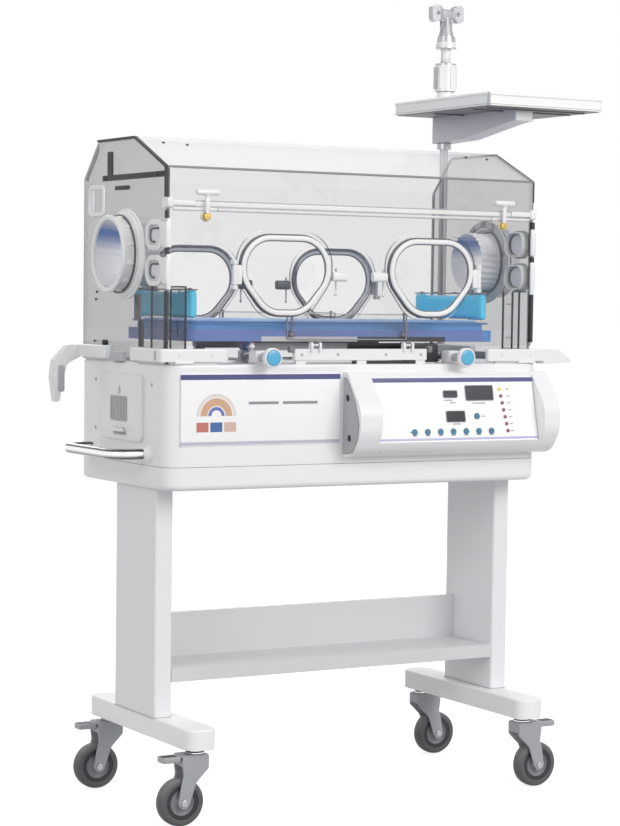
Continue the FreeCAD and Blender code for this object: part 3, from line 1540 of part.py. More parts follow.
def fan_impeller():
    """Backward curved blades on a disc, turning on the motor's shaft."""
    line = (0, d.fan_back)
    low = d.fan_bottom
    high = low + d.fan_height
    disc = rod("fan_disc", "z", line, (low, low + 3), d.fan_diameter)
    hub = rod("fan_hub", "z", line, (low, high), d.fan_shaft + 14)
    radius = d.fan_diameter / 2
    count = 12
    steps = [(0.42 + 0.14 * step, 0.62 - 0.2 * step) for step in range(5)]
    blades = []
    for number in range(count):
        turn = 2 * math.pi * number / count
        around = [(share, turn + bend) for share, bend in steps]
        around += [(share, angle + 0.05) for share, angle in reversed(around)]
        points = [(share * math.cos(angle) * radius, share * math.sin(angle) * radius) for share, angle in around]
        blades.append(slab(f"fan_blade_{number}", "z", points, (low + 2, high), line))
    bore = rod("fan_bore", "z", line, (low - 1, high + 1), d.fan_shaft + 2 * d.running_gap)
    node("fan_impeller", cut("fan_body", fuse("fan_solid", disc, hub, *blades), bore))


base_tray()
base_housing()
deck_plate()
stand()
storage_shelf()
casters()
control_housing()
control_panel()
panel_fittings()
push_handles()
water_tank()
hood()
hood_ends()
tube_grommets()
iris_ports()
front_door()
door_hinge_rail()
door_latches()
corner_mouldings()
tilt_bearings()
tilt_knobs()
lift_posts()
bed_cradle()
bed()
accessory_pole()
tray_arm()
instrument_tray()
hook_rod()
fan_impeller()

doc.recompute()

broken = [item.Label for item in doc.Objects if "Invalid" in item.State or "Error" in item.State]
if broken:
    raise RuntimeError(f"these objects failed: {broken}")
for piece in nodes:
    if piece.Shape.isNull() or not piece.Shape.isValid() or not piece.Shape.Solids:
        raise RuntimeError(f"{piece.Label} has no valid solid")
for piece in nodes:
    piece.Shape.exportStep(f"parts/{piece.Label}.step")
print(len(nodes), "sub-parts written")
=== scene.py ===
import math

import bmesh
import bpy
import numpy as np
from mathutils import Matrix, Vector


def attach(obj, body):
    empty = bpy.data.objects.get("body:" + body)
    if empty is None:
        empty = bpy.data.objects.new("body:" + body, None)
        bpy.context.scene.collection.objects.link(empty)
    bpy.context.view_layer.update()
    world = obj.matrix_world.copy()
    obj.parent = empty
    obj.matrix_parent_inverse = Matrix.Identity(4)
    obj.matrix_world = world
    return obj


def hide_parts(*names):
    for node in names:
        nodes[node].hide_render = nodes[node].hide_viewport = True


# The looks of an infant incubator. Sizes here are in millimetres and become metres in add_piece.
# X runs to the right, Y to the back and Z up, from the floor under the middle of the cabinet.

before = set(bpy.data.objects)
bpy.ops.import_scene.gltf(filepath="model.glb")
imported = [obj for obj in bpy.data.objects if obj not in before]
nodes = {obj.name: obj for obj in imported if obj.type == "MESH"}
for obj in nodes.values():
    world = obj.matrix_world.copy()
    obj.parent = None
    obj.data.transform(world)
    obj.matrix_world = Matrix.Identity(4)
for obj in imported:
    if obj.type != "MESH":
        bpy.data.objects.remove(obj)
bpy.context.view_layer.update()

MM = 0.001
SIDES = {"left": -1, "right": 1}
AXES = {"x": np.array([1.0, 0, 0]), "y": np.array([0, 1.0, 0]), "z": np.array([0, 0, 1.0])}

HOOD_HALF = 454
HOOD_FRONT = -193
HOOD_BACK = 217
IRIS_HEIGHT = 1170
FRONT_PORT = 1129
REAR_PORT = 1111
PORT_X = 181
POLE = (495, 238)
SWIVEL_X = 409
AXLE_X = 443
AXLE_HEIGHT = 50
CASTER_Y = {"front": -252, "rear": 160}
GROMMET_HEIGHTS = (1208, 1135)
LATCH_X = 368
LATCH_HEIGHT = 1247
KNOB_X = 240
KNOB_HEIGHT = 958
POST_X = 226
POST_Y = -138
PUSH_BAR_HEIGHT = 757
PUSH_BAR_ENDS = (-137, 113)


# Camera, stage and light

def photo_camera():
    """The camera looks along yaw, pitch and roll from where the photograph was taken, with its
    lens and shift."""
    yaw, pitch, roll = (math.radians(angle) for angle in (29.936, 3.836, 0.775))
    forward = Vector(
        (math.sin(yaw) * math.cos(pitch), math.cos(yaw) * math.cos(pitch), -math.sin(pitch))
    )
    right = Vector((math.cos(yaw), -math.sin(yaw), 0))
    up = right.cross(forward)
    turned_right = right * math.cos(roll) + up * math.sin(roll)
    turned_up = up * math.cos(roll) - right * math.sin(roll)
    data = bpy.data.cameras.new("photo_camera")
    data.sensor_width = 36
    data.lens = 36 * 2315.74 / 826
    data.shift_y = 36.34 / 826
    data.clip_end = 200
    camera = bpy.data.objects.new("photo_camera", data)
    bpy.context.scene.collection.objects.link(camera)
    turn = Matrix((turned_right, turned_up, -forward)).transposed().to_4x4()
    camera.matrix_world = Matrix.Translation((-2.558, -4.4405, 1.0911)) @ turn
    bpy.context.scene.camera = camera


def seen_directly(tree):
    """1 for rays that see this surface straight, in a mirror or through glass, and 0 for its
    light on other things."""
    path = tree.nodes.new("ShaderNodeLightPath").outputs
    mirrored = math_node(tree, "ADD", path["Is Camera Ray"], path["Is Glossy Ray"])
    return math_node(tree, "ADD", mirrored, path["Is Transmission Ray"], clamp=True)


def scaled(tree, source, low, high):
    """source from 0 to 1 becomes low to high."""
    span = tree.nodes.new("ShaderNodeMapRange")
    span.inputs["To Min"].default_value = low
    span.inputs["To Max"].default_value = high
    tree.links.new(source, span.inputs["Value"])
    return span.outputs["Result"]


def studio():
    """A pale floor, a white surround and soft lamps at the front right, at the front left and
    behind."""
    world = bpy.data.worlds.new("surround")
    bpy.context.scene.world = world
    world.use_nodes = True
    background = world.node_tree.nodes["Background"]
    background.inputs["Color"].default_value = (1, 1, 1, 1)
    strength = scaled(world.node_tree, seen_directly(world.node_tree), 0.57, 1.0)
    world.node_tree.links.new(strength, background.inputs["Strength"])

    mesh = bpy.data.meshes.new("floor")
    mesh.from_pydata([(-60, -60, 0), (60, -60, 0), (60, 60, 0), (-60, 60, 0)], [], [(0, 1, 2, 3)])
    floor = bpy.data.objects.new("floor", mesh)
    bpy.context.scene.collection.objects.link(floor)
    paint = bpy.data.materials.new("floor_white")
    paint.use_nodes = True
    shader = paint.node_tree.nodes["Principled BSDF"]
    shader.inputs["Base Color"].default_value = (0.45, 0.45, 0.46, 1)
    shader.inputs["Roughness"].default_value = 0.9
    shader.inputs["Specular IOR Level"].default_value = 0.1
    shader.inputs["Emission Color"].default_value = (1, 1, 1, 1)
    glow = scaled(paint.node_tree, seen_directly(paint.node_tree), 0.0, 0.745)
    paint.node_tree.links.new(glow, shader.inputs["Emission Strength"])
    mesh.materials.append(paint)

    for name, place, size, power in (
        ("key_lamp", (1.6, -5.2, 3.6), 3.0, 158),
        ("fill_lamp", (-4.5, -2.5, 2.6), 2.5, 48),
        ("rear_lamp", (1.5, 4.5, 3.2), 3.0, 60),
    ):
        lamp = bpy.data.lights.new(name, "AREA")
        lamp.size = size
        lamp.energy = power
        holder = bpy.data.objects.new(name, lamp)
        bpy.context.scene.collection.objects.link(holder)
        holder.location = place
        holder.visible_camera = False
        holder.visible_transmission = False
        holder.rotation_euler = (Vector((0, 0, 0.9)) - Vector(place)).to_track_quat("-Z", "Y").to_euler()
    bpy.context.scene.view_settings.view_transform = "Standard"


# Surfaces as arrays of points

def ring_faces(rows, columns, wrapped=False):
    """Quads between neighbours of a grid whose columns close on themselves, and its rows too if
    wrapped."""
    row = np.arange(rows if wrapped else rows - 1)[:, None]
    column = np.arange(columns)[None, :]
    following = (row + 1) % rows
    beside = (column + 1) % columns
    corners = [(row, column), (row, beside), (following, beside), (following, column)]
    quads = np.stack([line * columns + place for line, place in corners], axis=-1)
    return quads.reshape(-1, 4).tolist()


def across(axis):
    """Two directions across an axis, so that the three make a right-handed set."""
    order = {"x": ("y", "z"), "y": ("z", "x"), "z": ("x", "y")}[axis]
    return AXES[order[0]], AXES[order[1]]


def lathe(profile, axis, centre, steps=48, closed=False):
    """Turned form: row i lies radius_i from the axis and along_i up it, with angle a from u to v."""
    along, radius = np.array(profile, float).T
    angle = np.linspace(0, 2 * math.pi, steps, endpoint=False)
    u, v = across(axis)
    turn = np.cos(angle)[:, None] * u + np.sin(angle)[:, None] * v
    points = along[:, None, None] * AXES[axis] + radius[:, None, None] * turn + np.array(centre, float)
    return points.reshape(-1, 3), ring_faces(len(along), steps, closed)


def screw_head(axis, centre, radius, height, top, steps=20):
    """A low turned head that stands height off a face, with its top a little narrower."""
    return lathe([(0, 0), (0, radius), (height, top), (height, 0)], axis, centre, steps)


def rounded(corners, radius, steps=8, closed=True):
    """A polyline whose corners become arcs of the given radius, each arc turned evenly between
    its two tangent points."""
    corners = np.array(corners, float)
    radii = np.broadcast_to(np.array(radius, float), len(corners))
    pieces = []
    for number, corner in enumerate(corners):
        if not closed and number in (0, len(corners) - 1):
            pieces.append(corner[None])
            continue
        back = corners[number - 1] - corner
        on = corners[(number + 1) % len(corners)] - corner
        back = back / np.linalg.norm(back)
        on = on / np.linalg.norm(on)
        half = math.acos(max(-1.0, min(1.0, float(back @ on)))) / 2
        middle = corner + (back + on) / np.linalg.norm(back + on) * radii[number] / math.sin(half)
        start = corner + back * radii[number] / math.tan(half) - middle
        end = corner + on * radii[number] / math.tan(half) - middle
        share = np.linspace(0, 1, steps)[:, None]
        sweep = math.pi - 2 * half
        arc = np.sin((1 - share) * sweep) * start + np.sin(share * sweep) * end
        pieces.append(middle + arc / math.sin(sweep))
    return np.concatenate(pieces)


def carried(path, section, up, closed=False):
    """A closed section carried along a path: a section point (s, t) lies at side s + over t, where
    side is the cross product of up and direction, and over that of direction and side."""
    path = np.array(path, float)
    section = np.array(section, float)
    if closed:
        direction = np.roll(path, -1, axis=0) - np.roll(path, 1, axis=0)
    else:
        direction = np.gradient(path, axis=0)
    direction /= np.linalg.norm(direction, axis=1)[:, None]
    side = np.cross(up, direction)
    side /= np.linalg.norm(side, axis=1)[:, None]
    over = np.cross(direction, side)
    points = path[:, None] + section[None, :, :1] * side[:, None] + section[None, :, 1:] * over[:, None]
    faces = ring_faces(len(path), len(section), closed)
    if not closed:
        count = len(section)
        last = (len(path) - 1) * count
        faces += [list(range(count)), list(range(last, last + count))]
    return points.reshape(-1, 3), faces


def circle(radius, steps=20):
    """Points of a circle, (r cos a, r sin a)."""
    angle = np.linspace(0, 2 * math.pi, steps, endpoint=False)
    return np.stack([radius * np.cos(angle), radius * np.sin(angle)], axis=1)


def normals_of(outline):
    """Unit normals of a closed flat outline, to the right of its run."""
    run = np.roll(outline, -1, axis=0) - np.roll(outline, 1, axis=0)
    run /= np.linalg.norm(run, axis=1)[:, None]
    return np.stack([run[:, 1], -run[:, 0]], axis=1)


def rectangle(width, height, radius, steps=6):
    """A rounded rectangle between two spans, anticlockwise from its low corner."""
    (left, right), (low, high) = width, height
    return rounded([(left, low), (right, low), (right, high), (left, high)], radius, steps)


def flat_to_space(outline, level, axis):
    """Flat points put across an axis at a level along it, in X, Y, Z order."""
    column = "xyz".index(axis)
    return np.insert(np.array(outline, float), column, level, axis=1)


def pad(outline, axis, low, high, edge=1.0, steps=4):
    """A plate of an anticlockwise outline. Both rims are quarter rounds: at angle a the ring is
    inset by edge (1 - sin a) and risen by edge (1 - cos a)."""
    outline = np.array(outline, float)
    outward = normals_of(outline)
    angle = np.linspace(0, math.pi / 2, steps)
    inset = edge * (1 - np.sin(angle))
    rise = edge * (1 - np.cos(angle))
    levels = np.concatenate([low + rise, high - rise[::-1]])
    insets = np.concatenate([inset, inset[::-1]])
    rings = [
        flat_to_space(outline - outward * shrink, level, axis) for level, shrink in zip(levels, insets)
    ]
    count = len(outline)
    faces = ring_faces(len(rings), count)
    last = (len(rings) - 1) * count
    faces += [list(range(count)), list(range(last, last + count))]
    return np.concatenate(rings), faces


def around(middle, half):
    """The span from half below a middle to half above it."""
    return middle - half, middle + half


def box_pad(x, y, z, axis="z", corner=3.0, edge=1.0):
    """A block with rounded corners across an axis and softly rounded rims."""
    spans = {"x": (y, z), "y": (x, z), "z": (x, y)}[axis]
    low, high = sorted({"x": x, "y": y, "z": z}[axis])
    return pad(rectangle(*(sorted(span) for span in spans), corner), axis, low, high, edge)


def hoop(outline, level, axis, section, outward=1):
    """A section carried round a closed flat outline that lies across an axis at a level along
    it."""
    return carried(flat_to_space(outline, level, axis), section, outward * AXES[axis], closed=True)


def join(*shapes):
    """Several shapes as one, with the faces of each counted on from the last."""
    points = []
    faces = []
    count = 0
    for shape_points, shape_faces in shapes:
        points.append(shape_points)
        faces += [[index + count for index in face] for face in shape_faces]
        count += len(shape_points)
    return np.concatenate(points), faces


def flipped(shape):
    """The same shape on the other side of the YZ plane."""
    points, faces = shape
    return points * np.array([-1, 1, 1]), faces


def on_side(shape, side):
    """A shape made for the right side, on the side asked for."""
    return shape if side > 0 else flipped(shape)


def both(*shapes):
    """Shapes made for the right side, joined with their images on the left."""
    return join(*shapes, *(flipped(shape) for shape in shapes))


def turned(shape, axis, degrees, centre):
    """A shape turned about an axis through centre."""
    points, faces = shape
    turn = np.array(Matrix.Rotation(math.radians(degrees), 3, axis.upper()))
    return (points - np.array(centre, float)) @ turn.T + np.array(centre, float), faces


def add_piece(name, shape, finish, body, stands_for=(), soften=35):
    """One object at the origin from points in millimetres: doubles merged, faces outwards, edges
    over soften sharp."""
    points, faces = shape
    mesh = bpy.data.meshes.new(name)
    mesh.from_pydata((points * MM).tolist(), [], faces)
    form = bmesh.new()
    form.from_mesh(mesh)
    bmesh.ops.remove_doubles(form, verts=form.verts, dist=1e-6)
    bmesh.ops.dissolve_degenerate(form, edges=form.edges, dist=1e-7)
    bmesh.ops.recalc_face_normals(form, faces=form.faces)
    form.to_mesh(mesh)
    form.free()
    mesh.materials.append(finish)
    mesh.polygons.foreach_set("use_smooth", np.ones(len(mesh.polygons), bool))
    mesh.set_sharp_from_angle(angle=math.radians(soften))
    mesh.update()
    piece = bpy.data.objects.new(name, mesh)
    bpy.context.scene.collection.objects.link(piece)
    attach(piece, body)
    if stands_for:
        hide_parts(*stands_for)
    return piece


# Shared effects, as node groups

def new_group(name, inputs, outputs):
    group = bpy.data.node_groups.new(name, "ShaderNodeTree")
    for label, kind, value in inputs:
        socket = group.interface.new_socket(label, in_out="INPUT", socket_type=kind)
        socket.default_value = value
    for label, kind in outputs:
        group.interface.new_socket(label, in_out="OUTPUT", socket_type=kind)
    return group, group.nodes.new("NodeGroupInput"), group.nodes.new("NodeGroupOutput")


def math_node(tree, operation, first, second=None, clamp=False):
    node = tree.nodes.new("ShaderNodeMath")
    node.operation = operation
    node.use_clamp = clamp
    for socket, value in zip(node.inputs, (first, second)):
        if value is None:
            continue
        if isinstance(value, (int, float)):
            socket.default_value = value
        else:
            tree.links.new(value, socket)
    return node.outputs[0]


def bumped(tree, height, strength, distance, normal=None):
    """A bump of a pattern's height, over another normal if there is one."""
    bump = tree.nodes.new("ShaderNodeBump")
    bump.inputs["Distance"].default_value = distance
    if isinstance(strength, float):
        bump.inputs["Strength"].default_value = strength
    else:
        tree.links.new(strength, bump.inputs["Strength"])
    tree.links.new(height, bump.inputs["Height"])
    if normal:
        tree.links.new(normal, bump.inputs["Normal"])
    return bump.outputs["Normal"]


def noise(tree, scale, detail=3.0, stretch=(1, 1, 1)):
    """Noise on Object coordinates, stretched along the axes."""
    place = tree.nodes.new("ShaderNodeTexCoord")
    mapping = tree.nodes.new("ShaderNodeMapping")
    mapping.inputs["Scale"].default_value = stretch
    tree.links.new(place.outputs["Object"], mapping.inputs["Vector"])
    texture = tree.nodes.new("ShaderNodeTexNoise")
    texture.inputs["Detail"].default_value = detail
    if isinstance(scale, (int, float)):
        texture.inputs["Scale"].default_value = scale
    else:
        tree.links.new(scale, texture.inputs["Scale"])
    tree.links.new(mapping.outputs["Vector"], texture.inputs["Vector"])
    return texture.outputs["Fac"]


def mixed(tree, share, first, second):
    """A colour between first and second by share."""
    mix = tree.nodes.new("ShaderNodeMix")
    mix.data_type = "RGBA"
    for socket, value in ((mix.inputs[0], share), (mix.inputs[6], first), (mix.inputs[7], second)):
        if isinstance(value, (int, float)):
            socket.default_value = value
        elif isinstance(value, tuple):
            socket.default_value = (*value, 1)
        else:
            tree.links.new(value, socket)
    return mix.outputs[2]


def softened(group, given):
    """The surface's normal, turned evenly over its edges."""
    soft = group.nodes.new("ShaderNodeBevel")
    soft.samples = 3
    group.links.new(given.outputs["Edge"], soft.inputs["Radius"])
    return soft.outputs["Normal"]


def grain_group():
    """Fine moulded or coated skin: uneven gloss from slow noise and small bumps from fast
    noise."""
    group, given, result = new_group(
        "skin_grain",
        [("Scale", "NodeSocketFloat", 900.0), ("Depth", "NodeSocketFloat", 0.1),
         ("Roughness", "NodeSocketFloat", 0.4), ("Spread", "NodeSocketFloat", 0.1),
         ("Edge", "NodeSocketFloat", 0.001)],
        [("Roughness", "NodeSocketFloat"), ("Normal", "NodeSocketVector")],
    )
    fine = noise(group, given.outputs["Scale"], 2.0)
    slow = noise(group, 9.0, 3.0)
    swing = math_node(group, "SUBTRACT", slow, 0.5)
    swing = math_node(group, "MULTIPLY", swing, given.outputs["Spread"])
    rough = math_node(group, "ADD", given.outputs["Roughness"], swing, clamp=True)
    group.links.new(rough, result.inputs["Roughness"])
    normal = bumped(group, fine, given.outputs["Depth"], 0.0005, softened(group, given))
    group.links.new(normal, result.inputs["Normal"])
    return group


def wear_group():
    """Colour in use: slow mottling, scuffs along the edges, and dust in patches on faces that
    look up."""
    group, given, result = new_group(
        "use_wear",
        [("Color", "NodeSocketColor", (0.8, 0.8, 0.8, 1)),
         ("Worn", "NodeSocketColor", (0.6, 0.6, 0.6, 1)),
         ("Mottle", "NodeSocketFloat", 0.06), ("Scuffs", "NodeSocketFloat", 0.3),
         ("Dust", "NodeSocketFloat", 0.1), ("Edge", "NodeSocketFloat", 0.0015)],
        [("Color", "NodeSocketColor")],
    )
    slow = noise(group, 5.0, 4.0)
    mottle = math_node(group, "MULTIPLY", slow, given.outputs["Mottle"])
    tinted = mixed(group, mottle, given.outputs["Color"], given.outputs["Worn"])
    geometry = group.nodes.new("ShaderNodeNewGeometry")
    alike = group.nodes.new("ShaderNodeVectorMath")
    alike.operation = "DOT_PRODUCT"
    group.links.new(geometry.outputs["Normal"], alike.inputs[0])
    group.links.new(softened(group, given), alike.inputs[1])
    edge = math_node(group, "SUBTRACT", 1.0, alike.outputs["Value"], clamp=True)
    broken = math_node(group, "MULTIPLY", edge, noise(group, 120.0, 4.0))
    strong = math_node(group, "MULTIPLY", broken, 4.0)
    scuffs = math_node(group, "MULTIPLY", strong, given.outputs["Scuffs"], clamp=True)
    scuffed = mixed(group, scuffs, tinted, given.outputs["Worn"])
    split = group.nodes.new("ShaderNodeSeparateXYZ")
    group.links.new(geometry.outputs["Normal"], split.inputs[0])
    facing_up = math_node(group, "MAXIMUM", split.outputs["Z"], 0.0)
    patches = math_node(group, "MULTIPLY", facing_up, noise(group, 30.0, 5.0))
    dust = math_node(group, "MULTIPLY", patches, given.outputs["Dust"], clamp=True)
    dusty = mixed(group, dust, scuffed, (0.62, 0.61, 0.59))
    group.links.new(dusty, result.inputs["Color"])
    return group


GRAIN = grain_group()
WEAR = wear_group()


def use_group(tree, group, **values):
    node = tree.nodes.new("ShaderNodeGroup")
    node.node_tree = group
    for label, value in values.items():
        socket = node.inputs[label]
        if isinstance(value, tuple):
            socket.default_value = (*value, 1)
        elif isinstance(value, (int, float)):
            socket.default_value = value
        else:
            tree.links.new(value, socket)
    return node


def new_finish(name):
    finish = bpy.data.materials.new(name)
    finish.use_nodes = True
    return finish, finish.node_tree, finish.node_tree.nodes["Principled BSDF"]


def plain(name, colour, worn, roughness=0.4, spread=0.12, scale=900.0, depth=0.12, edge=0.0012,
          mottle=0.06, scuffs=0.25, dust=0.08, metallic=0.0, specular=0.5, coat=0.0):
    """A moulded, painted or rubber skin: worn colour over fine grain."""
    finish, tree, shader = new_finish(name)
    shader.inputs["Metallic"].default_value = metallic
    shader.inputs["Specular IOR Level"].default_value = specular
    shader.inputs["Coat Weight"].default_value = coat
    shader.inputs["Coat Roughness"].default_value = 0.08
    skin = use_group(
        tree, GRAIN, Scale=scale, Depth=depth, Roughness=roughness, Spread=spread, Edge=edge
    )
    colours = use_group(
        tree, WEAR, Color=colour, Worn=worn, Mottle=mottle, Scuffs=scuffs, Dust=dust, Edge=edge
    )
    tree.links.new(colours.outputs["Color"], shader.inputs["Base Color"])
    tree.links.new(skin.outputs["Roughness"], shader.inputs["Roughness"])
    tree.links.new(skin.outputs["Normal"], shader.inputs["Normal"])
    return finish


def parts_of(finish):
    """The node tree of a finish, its shader and the colour that feeds it."""
    tree = finish.node_tree
    shader = tree.nodes["Principled BSDF"]
    return tree, shader, shader.inputs["Base Color"].links[0].from_socket


def uneven_gloss(tree, shader, pattern, swing, least):
    """Roughness is least plus swing times the pattern."""
    rough = math_node(tree, "ADD", math_node(tree, "MULTIPLY", pattern, swing), least)
    tree.links.new(rough, shader.inputs["Roughness"])


def object_place(tree):
    """X, Y and Z of the point, in metres."""
    place = tree.nodes.new("ShaderNodeTexCoord")
    split = tree.nodes.new("ShaderNodeSeparateXYZ")
    tree.links.new(place.outputs["Object"], split.inputs[0])
    return split.outputs


def wave(tree, value, rate):
    """The sine of a value times a rate."""
    return math_node(tree, "SINE", math_node(tree, "MULTIPLY", value, rate))


def rising(tree, value, start, rate):
    """0 up to start, then rate times what lies over it, up to 1."""
    return math_node(tree, "MULTIPLY", math_node(tree, "SUBTRACT", value, start), rate, clamp=True)


def band(tree, value, low, high):
    """1 where value lies between low and high, in metres."""
    over = math_node(tree, "GREATER_THAN", value, low)
    under = math_node(tree, "LESS_THAN", value, high)
    return math_node(tree, "MULTIPLY", over, under)


def cabinet_finish():
    """Moulded white with the dark seam between the two tiers."""
    finish = plain(
        "cabinet_white", (0.9, 0.9, 0.905), (0.7, 0.7, 0.7), roughness=0.32, coat=0.15, mottle=0.05
    )
    tree, shader, colours = parts_of(finish)
    seam = band(tree, object_place(tree)["Z"], 0.7322, 0.7334)
    lined = mixed(tree, seam, colours, (0.25, 0.25, 0.27))
    tree.links.new(lined, shader.inputs["Base Color"])
    return finish


def clear_finish(name, colour, veil, cut_axis, cut_veil=0.75, roughness=0.06, painted_top_light=None, least=0.16):
    """Clear sheet: 1 - (1 - veil) to the power 1 / cos of the viewing angle hides what is behind,
    cut edges are denser and faces that look up or down take the paler painted top light colour, if
    there is one. The cosine is at least the value least."""
    finish, tree, shader = new_finish(name)
    shader.inputs["Specular IOR Level"].default_value = 0.6
    geometry = tree.nodes.new("ShaderNodeNewGeometry")
    facing = tree.nodes.new("ShaderNodeLayerWeight")
    facing.inputs["Blend"].default_value = 0.5
    cosine = math_node(tree, "SUBTRACT", 1.0, facing.outputs["Facing"])
    cosine = math_node(tree, "MAXIMUM", cosine, least)
    through = math_node(tree, "POWER", 1 - veil, math_node(tree, "DIVIDE", 1.0, cosine))
    own = tree.nodes.new("ShaderNodeVectorTransform")
    own.vector_type = "NORMAL"
    own.convert_from = "WORLD"
    own.convert_to = "OBJECT"
    tree.links.new(geometry.outputs["True Normal"], own.inputs[0])
    split = tree.nodes.new("ShaderNodeSeparateXYZ")
    tree.links.new(own.outputs[0], split.inputs[0])
    along = math_node(tree, "ABSOLUTE", split.outputs[cut_axis[-1].upper()])
    if cut_axis[0] == "-":
        along = math_node(tree, "SUBTRACT", 1.0, along)
    edge = math_node(tree, "GREATER_THAN", along, 0.7)
    smudge = noise(tree, 7.0, 5.0)
    misty = math_node(tree, "MULTIPLY", math_node(tree, "GREATER_THAN", smudge, 0.62), 0.02)
    hidden = math_node(tree, "ADD", math_node(tree, "SUBTRACT", 1.0, through), misty)
    cut = math_node(tree, "MULTIPLY", edge, cut_veil)
    with_edge = math_node(tree, "MAXIMUM", hidden, cut, clamp=True)
    path = tree.nodes.new("ShaderNodeLightPath").outputs
    lighting = math_node(tree, "ADD", path["Is Shadow Ray"], path["Is Diffuse Ray"], clamp=True)
    shade = math_node(tree, "SUBTRACT", 1.0, math_node(tree, "MULTIPLY", lighting, 0.88))
    tree.links.new(math_node(tree, "MULTIPLY", with_edge, shade), shader.inputs["Alpha"])
    tint = mixed(tree, edge, colour, tuple(share * 0.55 for share in colour))
    # painted light: faces that look up or down take a paler tint
    if painted_top_light:
        upright = math_node(tree, "ABSOLUTE", split.outputs["Z"])
        tint = mixed(tree, math_node(tree, "MULTIPLY", upright, 1.6, clamp=True), tint, painted_top_light)
    tree.links.new(tint, shader.inputs["Base Color"])
    uneven_gloss(tree, shader, smudge, 0.08, roughness)
    return finish


def chrome_finish():
    """Polished metal with hairline scratches, and a painted reflection: darker and brighter bands set
    by how far each face looks up or down."""
    finish, tree, shader = new_finish("chrome")
    shader.inputs["Metallic"].default_value = 1.0
    geometry = tree.nodes.new("ShaderNodeNewGeometry")
    split = tree.nodes.new("ShaderNodeSeparateXYZ")
    tree.links.new(geometry.outputs["Normal"], split.inputs[0])
    painted_reflection_ramp = tree.nodes.new("ShaderNodeValToRGB")
    # painted reflection of dark and bright surroundings: grey of the base colour by facing, from
    # straight down at 0 to straight up at 1
    heights = [
        (0.0, 0.3), (0.18, 0.08), (0.34, 0.5), (0.52, 0.95), (0.72, 0.9), (0.8, 0.07), (0.9, 0.1),
        (1.0, 0.45)
    ]
    while len(painted_reflection_ramp.color_ramp.elements) < len(heights):
        painted_reflection_ramp.color_ramp.elements.new(0.5)
    for element, (place, grey) in zip(painted_reflection_ramp.color_ramp.elements, heights):
        element.position = place
        element.color = (grey, grey, grey * 1.02, 1)
    height = tree.nodes.new("ShaderNodeMapRange")
    height.inputs["From Min"].default_value = -1
    tree.links.new(split.outputs["Z"], height.inputs["Value"])
    tree.links.new(height.outputs["Result"], painted_reflection_ramp.inputs["Fac"])
    tree.links.new(painted_reflection_ramp.outputs["Color"], shader.inputs["Base Color"])
    hairs = noise(tree, 60.0, 6.0, (30, 1, 30))
    uneven_gloss(tree, shader, hairs, 0.12, 0.04)
    return finish


def steel_finish(name, colour, stretch):
    """Brushed bar: noise drawn out along the bar sets gloss and small scratches."""
    finish, tree, shader = new_finish(name)
    shader.inputs["Metallic"].default_value = 0.9
    hairs = noise(tree, 220.0, 4.0, stretch)
    uneven_gloss(tree, shader, hairs, 0.25, 0.18)
    tone = mixed(tree, hairs, colour, tuple(share * 0.8 for share in colour))
    tree.links.new(tone, shader.inputs["Base Color"])
    tree.links.new(bumped(tree, hairs, 0.08, 0.0003), shader.inputs["Normal"])
    return finish


def cloth_finish(name, colour, shade, weave=900.0):
    """Coated cloth: a crossed weave of two waves, slow folds of tone and a soft sheen."""
    finish, tree, shader = new_finish(name)
    shader.inputs["Sheen Weight"].default_value = 0.25
    shader.inputs["Sheen Roughness"].default_value = 0.4
    place = object_place(tree)
    rows, lines, stacks = (wave(tree, place[axis], weave * 2 * math.pi) for axis in "XYZ")
    crossed = math_node(tree, "ADD", math_node(tree, "MULTIPLY", rows, lines), stacks)
    folds = noise(tree, 14.0, 3.0)
    tone = mixed(tree, math_node(tree, "MULTIPLY", folds, 0.55), colour, shade)
    fine = math_node(tree, "MULTIPLY", math_node(tree, "ADD", crossed, 1.0), 0.06, clamp=True)
    tree.links.new(mixed(tree, fine, tone, shade), shader.inputs["Base Color"])
    uneven_gloss(tree, shader, folds, 0.15, 0.48)
    threads = bumped(tree, crossed, 0.12, 0.0004)
    tree.links.new(bumped(tree, folds, 0.25, 0.004, threads), shader.inputs["Normal"])
    return finish


def sleeve_finish():
    """Pale cuff cloth with a painted bluish shade where it turns up to the rear: a product of two
    soft steps along Y and Z."""
    finish = cloth_finish("sleeve_cloth", (0.92, 0.91, 0.93), (0.8, 0.8, 0.83), 1300)
    tree, shader, colour = parts_of(finish)
    place = object_place(tree)
    back = rising(tree, place["Y"], 0.016, 34.0)
    top = rising(tree, place["Z"], 1.178, 30.0)
    # painted shade: a bluish tint on the cuffs' upper rear
    tinted = mixed(tree, math_node(tree, "MULTIPLY", back, top), colour, (0.2, 0.3, 0.58))
    tree.links.new(tinted, shader.inputs["Base Color"])
    return finish


def window_finish():
    """Dark display glass, paler towards its top, with a faint grid of unlit segments."""
    finish, tree, shader = new_finish("display_glass")
    shader.inputs["Specular IOR Level"].default_value = 0.18
    shader.inputs["Coat Weight"].default_value = 0.0
    place = object_place(tree)
    slope = rising(tree, place["Z"], 0.82, 7.0)
    cells = wave(tree, place["X"], 700.0)
    bars = wave(tree, place["Z"], 900.0)
    grid = math_node(tree, "MULTIPLY", math_node(tree, "MULTIPLY", cells, bars), 0.25, clamp=True)
    glass = mixed(tree, slope, (0.05, 0.055, 0.06), (0.12, 0.125, 0.135))
    tree.links.new(mixed(tree, grid, glass, (0.2, 0.2, 0.21)), shader.inputs["Base Color"])
    uneven_gloss(tree, shader, noise(tree, 60.0), 0.1, 0.12)
    return finish


